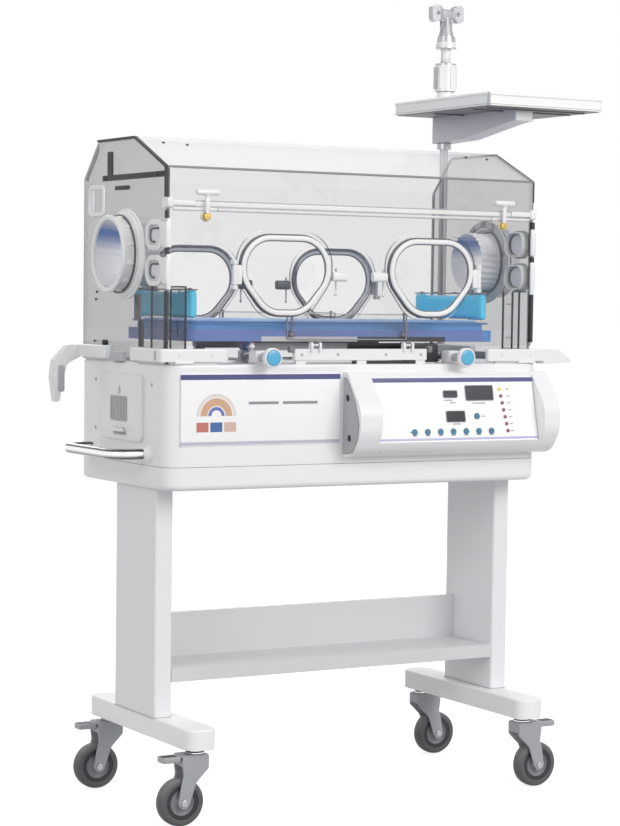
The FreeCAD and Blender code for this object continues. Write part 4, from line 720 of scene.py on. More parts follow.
def label_finish():
    """White plate: a dark line near its top, a pale one near its foot, three half rings over
    three blocks and two bars."""
    finish = plain(
        "label_white", (0.99, 0.99, 0.99), (0.9, 0.9, 0.91), roughness=0.35, scuffs=0.1, dust=0.03
    )
    tree, shader, colour = parts_of(finish)
    place = object_place(tree)
    colour = mixed(tree, band(tree, place["Z"], 0.9125, 0.9235), colour, (0.07, 0.075, 0.22))
    colour = mixed(tree, band(tree, place["Z"], 0.7778, 0.785), colour, (0.56, 0.56, 0.66))
    middle, foot = -0.352, 0.838
    dx = math_node(tree, "SUBTRACT", place["X"], middle)
    dz = math_node(tree, "SUBTRACT", place["Z"], foot)
    squares = [math_node(tree, "MULTIPLY", run, run) for run in (dx, dz)]
    reach = math_node(tree, "SQRT", math_node(tree, "ADD", *squares))
    above = math_node(tree, "GREATER_THAN", place["Z"], foot)
    for low, high, tone in (
        (0.012, 0.019, (0.16, 0.2, 0.5)), (0.021, 0.037, (0.68, 0.42, 0.28)),
        (0.039, 0.046, (0.8, 0.74, 0.7)),
    ):
        half_ring = math_node(tree, "MULTIPLY", above, band(tree, reach, low, high))
        colour = mixed(tree, half_ring, colour, tone)
    row = band(tree, place["Z"], 0.805, 0.825)
    for low, high, tone in (
        (-0.398, -0.37, (0.6, 0.2, 0.16)), (-0.366, -0.338, (0.07, 0.16, 0.4)),
        (-0.334, -0.306, (0.72, 0.5, 0.42)),
    ):
        block = math_node(tree, "MULTIPLY", row, band(tree, place["X"], low, high))
        colour = mixed(tree, block, colour, tone)
    bars = band(tree, place["Z"], 0.861, 0.867)
    for low, high in ((-0.277, -0.206), (-0.196, -0.112)):
        bar = math_node(tree, "MULTIPLY", bars, band(tree, place["X"], low, high))
        colour = mixed(tree, bar, colour, (0.3, 0.3, 0.33))
    tree.links.new(colour, shader.inputs["Base Color"])
    return finish


def tray_finish():
    """Bed tray: violet blue with a brighter end, a pale band low on its middle that is painted light
    for a bright gap, and a near black band low on its right half."""
    finish = plain("bed_blue", (0.14, 0.21, 0.52), (0.3, 0.38, 0.66), roughness=0.35, mottle=0.15)
    tree, shader, colour = parts_of(finish)
    place = object_place(tree)
    low = band(tree, place["Z"], 0.98, 1.0005)
    # painted light: the pale band stands in for the bright gap under the bed's middle
    pale = math_node(tree, "MULTIPLY", low, band(tree, place["X"], -0.21, 0.026))
    dark = math_node(tree, "MULTIPLY", low, band(tree, place["X"], 0.026, 0.252))
    colour = mixed(tree, pale, colour, (0.62, 0.62, 0.65))
    cap = band(tree, place["X"], 0.352, 0.4)
    colour = mixed(tree, cap, colour, (0.1, 0.29, 0.68))
    tree.links.new(mixed(tree, dark, colour, (0.03, 0.03, 0.035)), shader.inputs["Base Color"])
    return finish


def cradle_finish():
    """Link frame under the bed: pale coat, near black on its right half."""
    finish = plain("cradle_grey", (0.5, 0.5, 0.53), (0.4, 0.4, 0.42), roughness=0.4)
    tree, shader, colour = parts_of(finish)
    dark = band(tree, object_place(tree)["X"], 0.026, 0.26)
    tree.links.new(mixed(tree, dark, colour, (0.03, 0.03, 0.035)), shader.inputs["Base Color"])
    return finish


def tank_window_finish():
    """Grey ribbed glass: upright ribs from a sine along Y set tone and bump."""
    finish, tree, shader = new_finish("tank_window_glass")
    ribs = wave(tree, object_place(tree)["Y"], 900.0)
    share = math_node(tree, "MULTIPLY", math_node(tree, "ADD", ribs, 1.0), 0.5, clamp=True)
    tree.links.new(mixed(tree, share, (0.22, 0.22, 0.23), (0.5, 0.5, 0.51)), shader.inputs["Base Color"])
    uneven_gloss(tree, shader, noise(tree, 40.0), 0.15, 0.15)
    tree.links.new(bumped(tree, ribs, 0.3, 0.0008), shader.inputs["Normal"])
    return finish


CABINET = cabinet_finish()
LABEL = label_finish()
TANK_WINDOW = tank_window_finish()
FOOT = plain(
    "foot_coat", (0.96, 0.96, 0.965), (0.7, 0.7, 0.71), roughness=0.35, scale=650, depth=0.2, dust=0.1
)
# greyer than the frame coat: painted shade on the shelf under the cabinet
SHELF = plain(
    "shelf_coat", (0.7, 0.7, 0.715), (0.55, 0.55, 0.57), roughness=0.4, scale=650, depth=0.2, dust=0.12
)
FRAME = plain(
    "frame_coat", (0.88, 0.88, 0.9), (0.6, 0.6, 0.62), roughness=0.38, scale=650, depth=0.2, dust=0.12
)
TRIM = plain("trim_white", (0.88, 0.88, 0.885), (0.66, 0.66, 0.67), roughness=0.3, coat=0.2)
PANEL = plain("panel_white", (0.99, 0.99, 0.99), (0.9, 0.9, 0.91), roughness=0.35, scuffs=0.1, dust=0.03)
TRAY = plain("tray_white", (0.98, 0.98, 0.965), (0.7, 0.7, 0.7), roughness=0.3)
# dark grey: painted shade on the tray's underside, and the own colour of the other dark parts that use
# it
UNDER = plain("tray_under", (0.2, 0.2, 0.21), (0.35, 0.35, 0.36), roughness=0.5)
ARM = plain("arm_grey", (0.74, 0.73, 0.77), (0.45, 0.45, 0.48), roughness=0.4)
BLACK = plain(
    "seal_black", (0.02, 0.02, 0.023), (0.09, 0.09, 0.09), roughness=0.55, scale=1500, scuffs=0.4
)
TYRE = plain(
    "tyre_grey", (0.085, 0.085, 0.09), (0.2, 0.2, 0.2), roughness=0.62, scale=500, depth=0.35,
    mottle=0.3, dust=0.5
)
HUB = plain("hub_grey", (0.27, 0.27, 0.29), (0.15, 0.15, 0.15), roughness=0.5, mottle=0.2, dust=0.25)
FORK = plain("fork_grey", (0.4, 0.405, 0.43), (0.62, 0.62, 0.62), roughness=0.42, scuffs=0.6, dust=0.25)
BLUE = plain("knob_blue", (0.09, 0.45, 0.72), (0.3, 0.6, 0.8), roughness=0.3, scuffs=0.2, coat=0.2)
SHAFT = plain("shaft_grey", (0.3, 0.3, 0.32), (0.5, 0.5, 0.5), roughness=0.35, metallic=0.6, scuffs=0.5)
SEAL = plain("seal_grey", (0.13, 0.13, 0.14), (0.28, 0.28, 0.28), roughness=0.45, scale=1400, scuffs=0.2)
# grey for the housing's left end: painted shade
END_PAINTED_SHADE_GREY = plain("end_painted_shade_grey", (0.42, 0.42, 0.44), (0.3, 0.3, 0.32), roughness=0.38)
# the rear ports' grey: a painted shade copy of the white trim on the front ones
REAR_PORT_PAINTED_SHADE_GREY = plain("rear_port_painted_shade_grey", (0.55, 0.55, 0.56), (0.4, 0.4, 0.4), roughness=0.3, coat=0.2)
LINE_GREY = plain("line_grey", (0.5, 0.5, 0.52), (0.38, 0.38, 0.4), roughness=0.42)
BEND_GREY = plain("bend_grey", (0.26, 0.26, 0.27), (0.4, 0.4, 0.4), roughness=0.4)
CREAM = plain("washer_cream", (0.82, 0.74, 0.58), (0.6, 0.52, 0.4), roughness=0.35)
FLAP = plain("flap_pale_grey", (0.78, 0.78, 0.82), (0.6, 0.6, 0.63), roughness=0.5, scuffs=0.1)
MARK = plain("mark_grey", (0.42, 0.43, 0.46), (0.55, 0.55, 0.55), roughness=0.4, scuffs=0.1)
KEY = plain("key_blue", (0.03, 0.17, 0.28), (0.2, 0.4, 0.55), roughness=0.4)
LAMP_RED = plain("lamp_maroon", (0.28, 0.07, 0.11), (0.4, 0.2, 0.2), roughness=0.2, coat=0.4)
LAMP_YELLOW = plain("lamp_yellow", (0.85, 0.6, 0.08), (0.9, 0.75, 0.4), roughness=0.2, coat=0.4)
STRIPE_DARK = plain(
    "stripe_violet_blue", (0.09, 0.09, 0.24), (0.2, 0.2, 0.36), roughness=0.4, scuffs=0.1
)
STRIPE_PALE = plain("stripe_pale", (0.5, 0.5, 0.72), (0.6, 0.6, 0.75), roughness=0.4, scuffs=0.1)
BED = tray_finish()
CRADLE = cradle_finish()
MATTRESS = cloth_finish("mattress_cloth", (0.15, 0.39, 0.78), (0.1, 0.28, 0.64))
BOLSTER = cloth_finish("bolster_cloth", (0.12, 0.72, 1.0), (0.08, 0.6, 0.95))
PIPING = cloth_finish("piping_cloth", (0.09, 0.2, 0.45), (0.06, 0.13, 0.33), 1600)
SLEEVE = sleeve_finish()
BRASS = plain(
    "latch_brass", (0.6, 0.42, 0.13), (0.75, 0.62, 0.35), roughness=0.3, metallic=0.9, scuffs=0.5
)
CHROME = chrome_finish()
STEEL = steel_finish("pole_steel", (0.5, 0.5, 0.52), (20, 20, 1))
ZINC = plain(
    "hook_zinc", (0.3, 0.3, 0.32), (0.62, 0.62, 0.62), roughness=0.4, metallic=0.35, mottle=0.6,
    scuffs=0.5
)
WINDOW = window_finish()
FRONT_CLEAR = clear_finish("clear_front", (0.2, 0.2, 0.21), 0.065, "-y", least=0.45)
# the shell's roof takes a paler painted top light
SHELL_CLEAR = clear_finish("clear_shell", (0.2, 0.2, 0.21), 0.075, "x", painted_top_light=(0.92, 0.92, 0.93))
END_CLEAR = clear_finish("clear_ends", (0.1, 0.1, 0.11), 0.15, "-x")
GUARD_CLEAR = clear_finish("clear_guard", (0.3, 0.3, 0.32), 0.05, "-y", least=0.45)
PORT_CLEAR = clear_finish("clear_ports", (0.2, 0.2, 0.21), 0.04, "-y", least=0.45)
SKIRT_CLEAR = clear_finish("clear_skirt", (0.2, 0.2, 0.21), 0.075, "x")
CHANNEL = clear_finish("clear_channel", (0.9, 0.9, 0.9), 0.6, "-y")
SMOKE = clear_finish("clear_smoke", (0.005, 0.012, 0.03), 0.22, "-y")
FAN = plain("fan_grey", (0.09, 0.095, 0.1), (0.25, 0.25, 0.25), roughness=0.5)


def dress(finish, *names):
    """A CAD node keeps its shape and gets this finish on every slot."""
    for name in names:
        for place in nodes[name].material_slots:
            place.material = finish


def dress_frame():
    dress(CABINET, "base_tray", "base_housing", "control_housing", "deck_plate")
    dress(FRAME, "column_left", "column_right")
    dress(SHELF, "storage_shelf")
    dress(FOOT, "foot_left", "foot_right")
    dress(PANEL, "control_panel")
    dress(WINDOW, "display_windows")
    dress(KEY, "panel_keys")
    dress(LAMP_RED, "status_lamps")
    dress(CHROME, "push_handle_left", "push_handle_right")
    dress(SHELL_CLEAR, "hood_shell")
    dress(END_CLEAR, "hood_end_left", "hood_end_right")
    dress(FRONT_CLEAR, "front_door")
    dress(GUARD_CLEAR, "bed_guards")
    for end in ("front", "rear"):
        for side in SIDES:
            dress(GUARD_CLEAR, f"port_door_{end}_{side}")
            dress(FORK, f"caster_{end}_{side}_fork", f"caster_{end}_{side}_brake")
            dress(TYRE, f"caster_{end}_{side}_wheel")
    dress(TRIM, "tube_grommets", "iris_flanges", "door_hinge_rail", "corner_mouldings", "tilt_bearings")
    dress(TRIM, "door_latch_left", "door_latch_right", "iris_ring_left", "iris_ring_right", "water_tank")
    dress(SLEEVE, "iris_sleeves")
    dress(SHAFT, "tilt_knob_left", "tilt_knob_right")
    dress(STEEL, "lift_post_left", "lift_post_right", "accessory_pole", "hook_rod")
    dress(BED, "mattress_tray")
    dress(CRADLE, "bed_cradle")
    dress(TRAY, "instrument_tray")
    dress(ARM, "tray_arm")
    dress(FAN, "fan_impeller")


photo_camera()
studio()
dress_frame()

# Casters

def wheel(name, side, y):
    """Tyre, black ring and hub are turned forms about the axle."""
    centre = (side * AXLE_X, y, AXLE_HEIGHT)
    tyre = [(-14.6, 36.4), (-15, 43), (-13.6, 46.6), (-10.5, 48.9), (-6, 49.8), (0, 50), (6, 49.8),
            (10.5, 48.9), (13.6, 46.6), (15, 43), (14.6, 36.4), (10, 35), (-10, 35)]
    ring = [(-13.4, 27), (-13.4, 36.8), (13.4, 36.8), (13.4, 27)]
    hub = [(-15.8, 0), (-15.8, 9), (-13.5, 10.5), (-10, 13), (-9.4, 22), (-12, 24.5), (-12, 27.4),
           (12, 27.4), (12, 24.5), (9.4, 22), (10, 13), (13.5, 10.5), (15.8, 9), (15.8, 0)]
    body = f"caster_{name}_wheel"
    add_piece(f"tyre_{name}", lathe(tyre, "y", centre, 64, True), TYRE, body, [body])
    add_piece(f"wheel_ring_{name}", lathe(ring, "y", centre, 64, True), BLACK, body)
    add_piece(f"hub_{name}", lathe(hub, "y", centre, 48), HUB, body)


def fork(name, side, y):
    """Two cheeks under a crown on a bright neck, with bolt heads on the axle."""
    outline = [
        (-22, 148), (-22, 119), (6, 92), (21, 48), (28, 38), (40, 38), (46.5, 48), (41, 84), (35, 106),
        (38, 128), (38, 148)
    ]
    radii = [4, 10, 30, 6, 7, 7, 6, 40, 14, 8, 3]
    outline = rounded(outline, radii, 6)
    shapes = [pad(outline, "y", low, low + 5, 1.2) for low in (-22, 17)]
    shapes.append(box_pad((-23, 37), (-20.8, 20.8), (124, 148), "z", 6, 2.5))
    points, faces = join(*shapes)
    points = points + np.array([SWIVEL_X, y, 0])
    body = f"caster_{name}_fork"
    add_piece(f"fork_{name}", on_side((points, faces), side), FORK, body, [body])
    neck = [
        (148, 0), (148, 15), (149.5, 20), (151.5, 20), (153, 17), (154.5, 19), (157, 19), (159.6, 16),
        (159.6, 0)
    ]
    add_piece(f"neck_{name}", lathe(neck, "z", (side * SWIVEL_X, y, 0), 48), CHROME, body)
    bolts = []
    for end in (1, -1):
        profile = [(0, 0), (0, 7.5), (2.4 * end, 7), (3 * end, 5.5), (3 * end, 0)]
        bolts.append(lathe(profile, "y", (side * AXLE_X, y + 22 * end, AXLE_HEIGHT), 24))
    add_piece(f"axle_bolts_{name}", join(*bolts), STEEL, body)


def pedal(name, side, y):
    """A brake pedal: a rounded tongue on a knuckle, with a dark strip on its top."""
    x = AXLE_X
    tongue = box_pad((x - 6, x + 46), around(y, 16), (134, 146), "z", 6, 2.4)
    knuckle = lathe([(-16, 0), (-16, 6), (16, 6), (16, 0)], "y", (x, y, 140), 24)
    slot = box_pad((x + 12, x + 44), around(y, 12), (145.6, 146.3), "z", 4, 0.3)
    body = f"caster_{name}_brake"
    add_piece(f"pedal_{name}", on_side(join(tongue, knuckle), side), FORK, body, [body])
    add_piece(f"pedal_slot_{name}", on_side(slot, side), BLACK, body)


for end_name, end_y in CASTER_Y.items():
    for side_name, side in SIDES.items():
        name = f"{end_name}_{side_name}"
        wheel(name, side, end_y)
        fork(name, side, end_y)
        pedal(name, side, end_y)

# Hand ports

def port_outline(x, z, grow, steps=10):
    """The port's six corners moved out by grow, each turned into an arc of 64 + grow."""
    half, rise, foot = 102 + grow, 79 + grow, 44 + 0.6 * grow
    corners = [(x - foot, z - rise), (x + foot, z - rise), (x + half, z - 9.5),
               (x + half, z + rise), (x - half, z + rise), (x - half, z - 9.5)]
    return rounded(corners, 64 + grow, steps)


def bar_section(width, height, radius=2.0):
    """A rounded rectangle about its middle."""
    return rectangle((-width / 2, width / 2), (-height / 2, height / 2), radius, 5)


def port_ring(x, z, grow, level, section, outward):
    """A section carried round the port's outline at a level in Y."""
    return hoop(port_outline(x, z, grow), level, "y", section, outward)


def hand_port(name, x, z, face, outward, side, seat_body, finish):
    """A seal on the wall, a thick rim with its pane, a hinge with two lugs, and a catch on the
    other side."""
    door = f"port_door_{name}"
    seal = port_ring(x, z, 5.2, face + outward * 3.2, bar_section(5, 6.2, 2), outward)
    add_piece(f"port_seal_{name}", seal, SEAL, seat_body)
    rim = port_ring(x, z, -1, face + outward * 10.3, bar_section(11, 7.8, 3.6), outward)
    add_piece(f"port_rim_{name}", rim, finish, door, [door])
    lip = port_ring(x, z, -7, face + outward * 9.4, bar_section(2.6, 4, 0.9), outward)
    add_piece(f"port_lip_{name}", lip, SEAL, door)
    low, high = sorted((face + outward * 7.2, face + outward * 9.6))
    pane = pad(port_outline(x, z, -4), "y", low, high, 0.5)
    add_piece(f"port_pane_{name}", pane, PORT_CLEAR, door)
    pivot = (x + side * 122, face + outward * 11, z)
    knuckle = lathe([(-21, 0), (-21, 4.6), (-20, 5.4), (20, 5.4), (21, 4.6), (21, 0)], "z", pivot, 24)
    arm = box_pad((x + side * 106, x + side * 122), around(pivot[1], 2.4), around(z, 20), "y", 4, 1)
    add_piece(f"port_knuckle_{name}", join(knuckle, arm), finish, door)
    lugs = []
    for low, high in ((-30.4, -21.6), (21.6, 30.4)):
        lug = [(low, 0), (low, 5.4), (low + 0.8, 6.2), (high - 0.8, 6.2), (high, 5.4), (high, 0)]
        lugs.append(lathe(lug, "z", pivot, 24))
        foot = sorted((face, pivot[1]))
        lugs.append(box_pad(around(pivot[0], 6.2), foot, (z + low, z + high), "z", 2, 0.6))
    add_piece(f"port_lugs_{name}", join(*lugs), finish, seat_body)
    catch = x - side * 131
    depth = sorted((face, face + outward * 14.2))
    block = box_pad(around(catch, 18), depth, around(z, 10.5), "x", 6, 2.5)
    # rear catches take dark grey as painted shade, front ones stay white
    add_piece(f"port_catch_{name}", block, finish if outward < 0 else SEAL, seat_body)
    spot = (catch + side * 9, face + outward * 8, z)
    pin = [(8.6, 0), (8.6, 3.4), (11, 3.4), (11.6, 2.3), (16.4, 2.3), (17.2, 1.4), (17.2, 0)]
    stem = [
        (-8.6, 0), (-8.6, 2.6), (-12, 2), (-34, 1.7), (-37, 2.8), (-40, 2.8), (-41.5, 1.6), (-41.5, 0),
    ]
    pins = [lathe(profile, "z", spot, 20) for profile in (pin, stem)]
    add_piece(f"port_catch_pins_{name}", join(*pins), STEEL, seat_body)


for side_name, side in SIDES.items():
    hand_port(f"front_{side_name}", side * PORT_X, FRONT_PORT, HOOD_FRONT, -1, side, "front_door", TRIM)
    # rear ports take the painted shade grey
    hand_port(f"rear_{side_name}", side * PORT_X, REAR_PORT, HOOD_BACK, 1, side, "base", REAR_PORT_PAINTED_SHADE_GREY)

# Iris ports and tube grommets on the end walls

def iris(side_name, side):
    """Flange, seal and turning ring are turned forms about the port's line, with the sleeve's
    cuff in them."""
    line = (0, 0, IRIS_HEIGHT)
    start = HOOD_HALF
    flange = [
        (0, 74.2), (0, 94), (1.4, 95), (4, 95), (5.6, 93.6), (6, 90.5), (8.4, 89.6), (10.6, 87.6),
        (11.8, 85), (11.9, 74.2)
    ]
    ring = [(12.2, 70.2), (12.2, 82), (13.4, 83), (16.2, 83), (17.6, 81.4), (18, 78.4), (27, 77.6),
            (34, 78.6), (40, 81), (43.4, 81.2), (45.4, 79.6), (46, 77.4), (45.6, 73), (44, 70.4),
            (42.6, 70.2)]
    seal = [(16.8, 77), (16.8, 83.2), (19.4, 83.2), (19.4, 77)]
    shapes = [lathe([(start + along, radius) for along, radius in profile], "x", line, 72, True)
              for profile in (flange, ring, seal)]
    body = f"iris_ring_{side_name}"
    add_piece(
        f"iris_turning_ring_{side_name}", on_side(shapes[1], side), TRIM, body, [body]
    )
    add_piece(f"iris_seal_{side_name}", on_side(shapes[2], side), SEAL, body)
    grips = []
    for angle in range(0, 360, 30):
        grip = box_pad(
            (start + 19.5, start + 33), (-3.5, 3.5), (IRIS_HEIGHT + 77, IRIS_HEIGHT + 81), "z", 2, 0.8
        )
        grips.append(turned(grip, "x", angle + 15, line))
    add_piece(f"iris_grips_{side_name}", on_side(join(*grips), side), TRIM, body)
    return on_side(shapes[0], side)


def iris_sleeve(side):
    """A gathered tube from the ring, t = 0, to its foot, t = 1. The radius 69.2 - 5 t^1.5 -
    4 sin(pi t)^2 is multiplied by the pleats, 1 + 0.028 sqrt(t) cos(28 a + 3 t)."""
    t = np.linspace(0, 1, 34)
    angle = np.linspace(0, 2 * math.pi, 336, endpoint=False)
    along = HOOD_HALF + 40 - 88 * t
    radius = 69.2 - 5 * t ** 1.5 - 4 * np.sin(math.pi * t) ** 2
    pleat = 1 + 0.028 * np.sqrt(t)[:, None] * np.cos(28 * angle[None] + 3 * t[:, None])
    reach = np.minimum(radius[:, None] * pleat, 69.6)
    y = reach * np.cos(angle)[None]
    z = IRIS_HEIGHT + reach * np.sin(angle)[None]
    points = np.stack([np.broadcast_to(along[:, None], y.shape), y, z], axis=-1).reshape(-1, 3)
    return on_side((points, ring_faces(len(t), len(angle))), side)


def grommet(z, start=HOOD_HALF):
    """A frame with a step, a slit flap in it and a short collar inside the wall, on the right
    end."""
    inner = rectangle((-169, -113), around(z, 20), 16, 9)
    middle = rectangle((-175, -107), around(z, 26), 21.5, 9)
    frame_bar = hoop(middle, start + 3.2, "x", bar_section(11.6, 6, 2.4))
    collar = hoop(middle, start - 9, "x", bar_section(3, 16, 1.2))
    tab = box_pad((start + 0.4, start + 5), (-199, -176), around(z, 27), "x", 5, 1.4)
    flap = pad(inner, "x", start - 3, start + 1.8, 1.2)
    slit = rounded([(-162, z + 14), (-121, z + 14), (-121, z - 14), (-142, z - 14)], 11, 8, closed=False)
    groove = carried(flat_to_space(slit, start + 2.2, "x"), circle(2.4, 10), (1, 0, 0))
    return frame_bar, collar, tab, flap, groove


flanges = []
sleeves = []
frames = []
flaps = []
grooves = []
for side_name, side in SIDES.items():
    flanges.append(iris(side_name, side))
    sleeves.append(iris_sleeve(side))
    for z in GROMMET_HEIGHTS:
        frame_bar, collar, tab, flap, groove = (on_side(shape, side) for shape in grommet(z))
        frames += [frame_bar, collar, tab]
        flaps.append(flap)
        grooves.append(groove)
add_piece("iris_flange_rings", join(*flanges), TRIM, "base", ["iris_flanges"])
sleeve = add_piece("iris_sleeve_cuffs", join(*sleeves), SLEEVE, "base", ["iris_sleeves"])
thick = sleeve.modifiers.new("cloth_thickness", "SOLIDIFY")
thick.thickness = 0.0005
add_piece("grommet_frames", join(*frames), TRIM, "base", ["tube_grommets"])
add_piece("grommet_flaps", join(*flaps), FLAP, "base")
add_piece("grommet_slits", join(*grooves), SEAL, "base")

# Hood seals, door edges, fittings and posts

def seal_strip(points, width=4.5, height=3.0, up=(0, 0, 1)):
    """A black strip carried along straight runs."""
    return carried(points, bar_section(width, height, 1.0), up)


def hood_seals():
    """Strips on the cut edges of both ends, with the gaps that the clamps and grommets leave, and
    the lines and channels along the front."""
    left = HOOD_HALF + 1.6
    edge = [(left, 139, 1413), (left, -42, 1413), (left, -190.6, 1346.4), (left, -190.6, 1285)]
    strips = [flipped(seal_strip(rounded(edge, [0, 4, 6, 0], 5, closed=False), 5, 8, (1, 0, 0)))]
    for low, high in ((1242, 1258), (1169, 1181), (946, 1094)):
        strips.append(flipped(box_pad((left - 2, left + 1.4), (-195.5, -186), (low, high), "x", 1, 0.6)))
    for low, high in ((1232, 1257), (1163, 1180), (990, 1100)):
        strips.append(box_pad((left - 6, left + 1.4), (-196, -186), (low, high), "x", 1, 0.6))
    rest = [(left, 139, 1413), (left, -42, 1413), (left, -190.6, 1346.4), (left, -190.6, 1300)]
    strips.append(seal_strip(rounded(rest, [0, 4, 6, 0], 5, closed=False), 3, 3, (1, 0, 0)))
    add_piece("hood_edge_seals", join(*strips), BLACK, "base")
    seam = box_pad(
        (-HOOD_HALF + 2, HOOD_HALF - 2), (HOOD_FRONT - 0.8, HOOD_FRONT + 1), (1265.6, 1267.4), "x", 0.6,
        0.3
    )
    edge = box_pad((-392, 392), (HOOD_FRONT - 1.6, HOOD_FRONT), (1277.6, 1279.6), "x", 0.6, 0.3)
    bend = box_pad(
        (-HOOD_HALF + 2, HOOD_HALF - 2), (HOOD_FRONT - 1, HOOD_FRONT + 1.2), (1344, 1349), "x", 1.2, 0.4
    )
    add_piece("hood_seam_lines", join(seam, edge), LINE_GREY, "base")
    add_piece("hood_bend_line", bend, BEND_GREY, "base")
    channel = box_pad(
        (-391.6, 391.6), (HOOD_FRONT - 3.6, HOOD_FRONT - 0.2), (1267.8, 1277.4), "x", 1.6, 0.8
    )
    add_piece("hood_channel", channel, CHANNEL, "base")
    sill = box_pad((-442, 442), (HOOD_FRONT - 2.6, HOOD_FRONT - 0.2), (1259.4, 1264.4), "x", 1.2, 0.6)
    line = box_pad((-442, 442), (HOOD_FRONT - 2, HOOD_FRONT), (1257.4, 1259.2), "x", 0.6, 0.3)
    add_piece("door_sill", sill, CHANNEL, "front_door")
    add_piece("door_sill_line", line, LINE_GREY, "front_door")


def door_trim():
    """White edge strips, the upper rail and its end clamps on the front door and the strip above
    it."""
    heights = ((1182, 1241), (1096, 1168))
    strips = [box_pad((446.5, 457), (-199.6, -192.6), height, "z", 2.5, 1.5) for height in heights]
    add_piece("door_edge_strips", both(*strips), TRIM, "base")
    rail = box_pad((392, 444), (-198.5, -192.8), (1267.8, 1279), "x", 2, 1)
    clamp = box_pad((443, 458), (-201, -176), (1262, 1284), "x", 5, 2)
    add_piece("hood_end_clamps", both(rail, clamp), TRIM, "base")


def hood_bracket():
    """The dark bar, upright and block of the hood's stay inside the left end, and its screws on
    the roof."""
    bar = box_pad((-457.4, -454.3), (-188, 116), (1326, 1338), "x", 3, 1)
    upright = box_pad((-457.2, -454.3), (66, 92), (1332, 1388), "x", 3, 1)
    block = box_pad((-457.2, -454.3), (-16, 54), (1305, 1314), "x", 3, 1)
    bolts = [screw_head("x", (-457, y, 1332), 4.5, -3, 3.5) for y in (-150, 100)]
    add_piece("hood_stay", join(bar, upright, block, *bolts), BLACK, "base")
    screws = []
    slope = math.degrees(math.atan2(68, 152))
    for x, down in ((-405, 0.2), (-352, 0.24), (352, 0.2), (405, 0.24)):
        spot = np.array([x, -41 - 152 * down, 1415 - 68 * down])
        head = lathe([(0, 0), (0, 3.6), (1.6, 3.2), (2.4, 1.8), (2.4, 0)], "z", tuple(spot), 20)
        screws.append(turned(head, "x", slope, tuple(spot)))
    add_piece("roof_screws", join(*screws), BLACK, "base")


def end_fittings():
    """The small white frame and clamp, black pegs, marks and stays on the left end."""
    wall = hoop(rectangle((110, 180), (1256, 1314), 8), -457, "x", bar_section(9, 5, 2))
    bar = box_pad((-458, -454.4), (162, 168), (1262, 1308), "x", 2, 0.8)
    clamp = box_pad((-462, -454.2), (-211, -196), (1264, 1283), "x", 4, 1.5)
    add_piece("end_frame", join(wall, bar), TRIM, "base")
    add_piece("end_clamp", clamp, TRIM, "base")
    peg = lathe([(0, 0), (0, 5.5), (9, 6), (11, 4.6), (11, 0)], "x", (454, 92, 982), 28)
    marks = [flipped(peg)]
    for y, z in ((155, 984), (150, 972), (146, 1090), (150, 1074)):
        marks.append(flipped(screw_head("x", (454, y, z), 3.2, 2, 2.8, 18)))
        marks.append(box_pad((-455.4, -454), (y - 13, y - 4), around(z, 0.8), "x", 0.5, 0.2))
    add_piece("end_pegs", join(*marks), BLACK, "base")
    stay = box_pad((-446, -441), (-62, -44), (976, 1032), "x", 2, 1)
    stem = box_pad((-446, -441), (-50, -22), (1032, 1086), "x", 5, 1.5)
    add_piece("end_stay", stay, BLACK, "base")
    add_piece("end_stem", stem, UNDER, "base")


def rear_skirt():
    """The clear sheet's foot behind the deck, below the rear wall."""
    sheet = box_pad((-452, 452), (213.4, 216.4), (946.4, 981.6), "y", 2, 0.4)
    add_piece("rear_skirt", sheet, SKIRT_CLEAR, "base")


def corner_posts():
    """Clear upright boxes in the front corners, each with dark strips along its edges."""
    strips = []
    for sign, depth in ((-1, -117), (1, -150)):
        inner = sign * 407
        x = sorted((sign * 444, inner))
        for across_x, across_y in ((inner, -186), (sign * 450.5, depth), (inner, depth)):
            spans = around(across_x, 1.6), around(across_y, 2.2), (951, 1103)
            strips.append(box_pad(*spans, "z", 0.8, 0.5))
        strips.append(box_pad(x, (-187, -184), (1101, 1104), "x", 0.9, 0.4))
    strips.append(box_pad((-426, -423), (-187, -185), (1000, 1032), "z", 0.8, 0.4))
    add_piece("corner_post_edges", join(*strips), BLACK, "base")
    panes = []
    for sign, depth in ((-1, -117), (1, -150)):
        x = sorted((sign * 448, sign * 408))
        panes.append(box_pad(x, around(depth, 1), (951, 1102), "x", 0.6, 0.3))
    add_piece("corner_post_panes", join(*panes), GUARD_CLEAR, "base")
    smoke = box_pad((-444, -407), (-187.2, -186.4), (950.5, 1102), "y", 2, 0.2)
    add_piece("corner_post_smoke", smoke, SMOKE, "base")
    ticks = [box_pad((392, 404), (-187, -185), around(z, 1), "x", 0.6, 0.3) for z in (1075, 1000)]
    add_piece("corner_post_ticks", join(*ticks), UNDER, "base")


hood_seals()
door_trim()
hood_bracket()
end_fittings()
corner_posts()
rear_skirt()

# Latches, hinge rail and mouldings

def latch(side_name, side):
    """A brass nut on a pale washer turns a white T handle."""
    body = f"door_latch_{side_name}"
    spot = (side * LATCH_X, HOOD_FRONT, LATCH_HEIGHT)
    washer = lathe([(-0.4, 0), (-0.4, 11), (-4, 11), (-5.5, 9.6), (-5.5, 0)], "y", spot, 32)
    add_piece(f"latch_washer_{side_name}", washer, CREAM, body, [body])
    nut = lathe([(-5.4, 0), (-5.4, 8.4), (-12.6, 8.4), (-14, 7), (-14, 0)], "y", spot, 6)
    stud = lathe([(-13.8, 0), (-13.8, 3.6), (-15.6, 2.8), (-15.6, 0)], "y", spot, 20)
    add_piece(f"latch_nut_{side_name}", join(nut, stud), BRASS, body)
    x = spot[0]
    stem = box_pad(around(x, 4.6), (-207, -201), (1253, 1292), "z", 2.4, 1.2)
    profile = [(-26, 0), (-26, 4), (-24.5, 5.6), (-22, 6.2), (22, 6.2), (24.5, 5.6), (26, 4), (26, 0)]
    bar = lathe(profile, "x", (x, -205, 1296), 28)
    knee = box_pad(around(x, 7), (-209, -200), (1288, 1300), "z", 3, 1.5)
    add_piece(f"latch_handle_{side_name}", join(stem, bar, knee), TRIM, body)


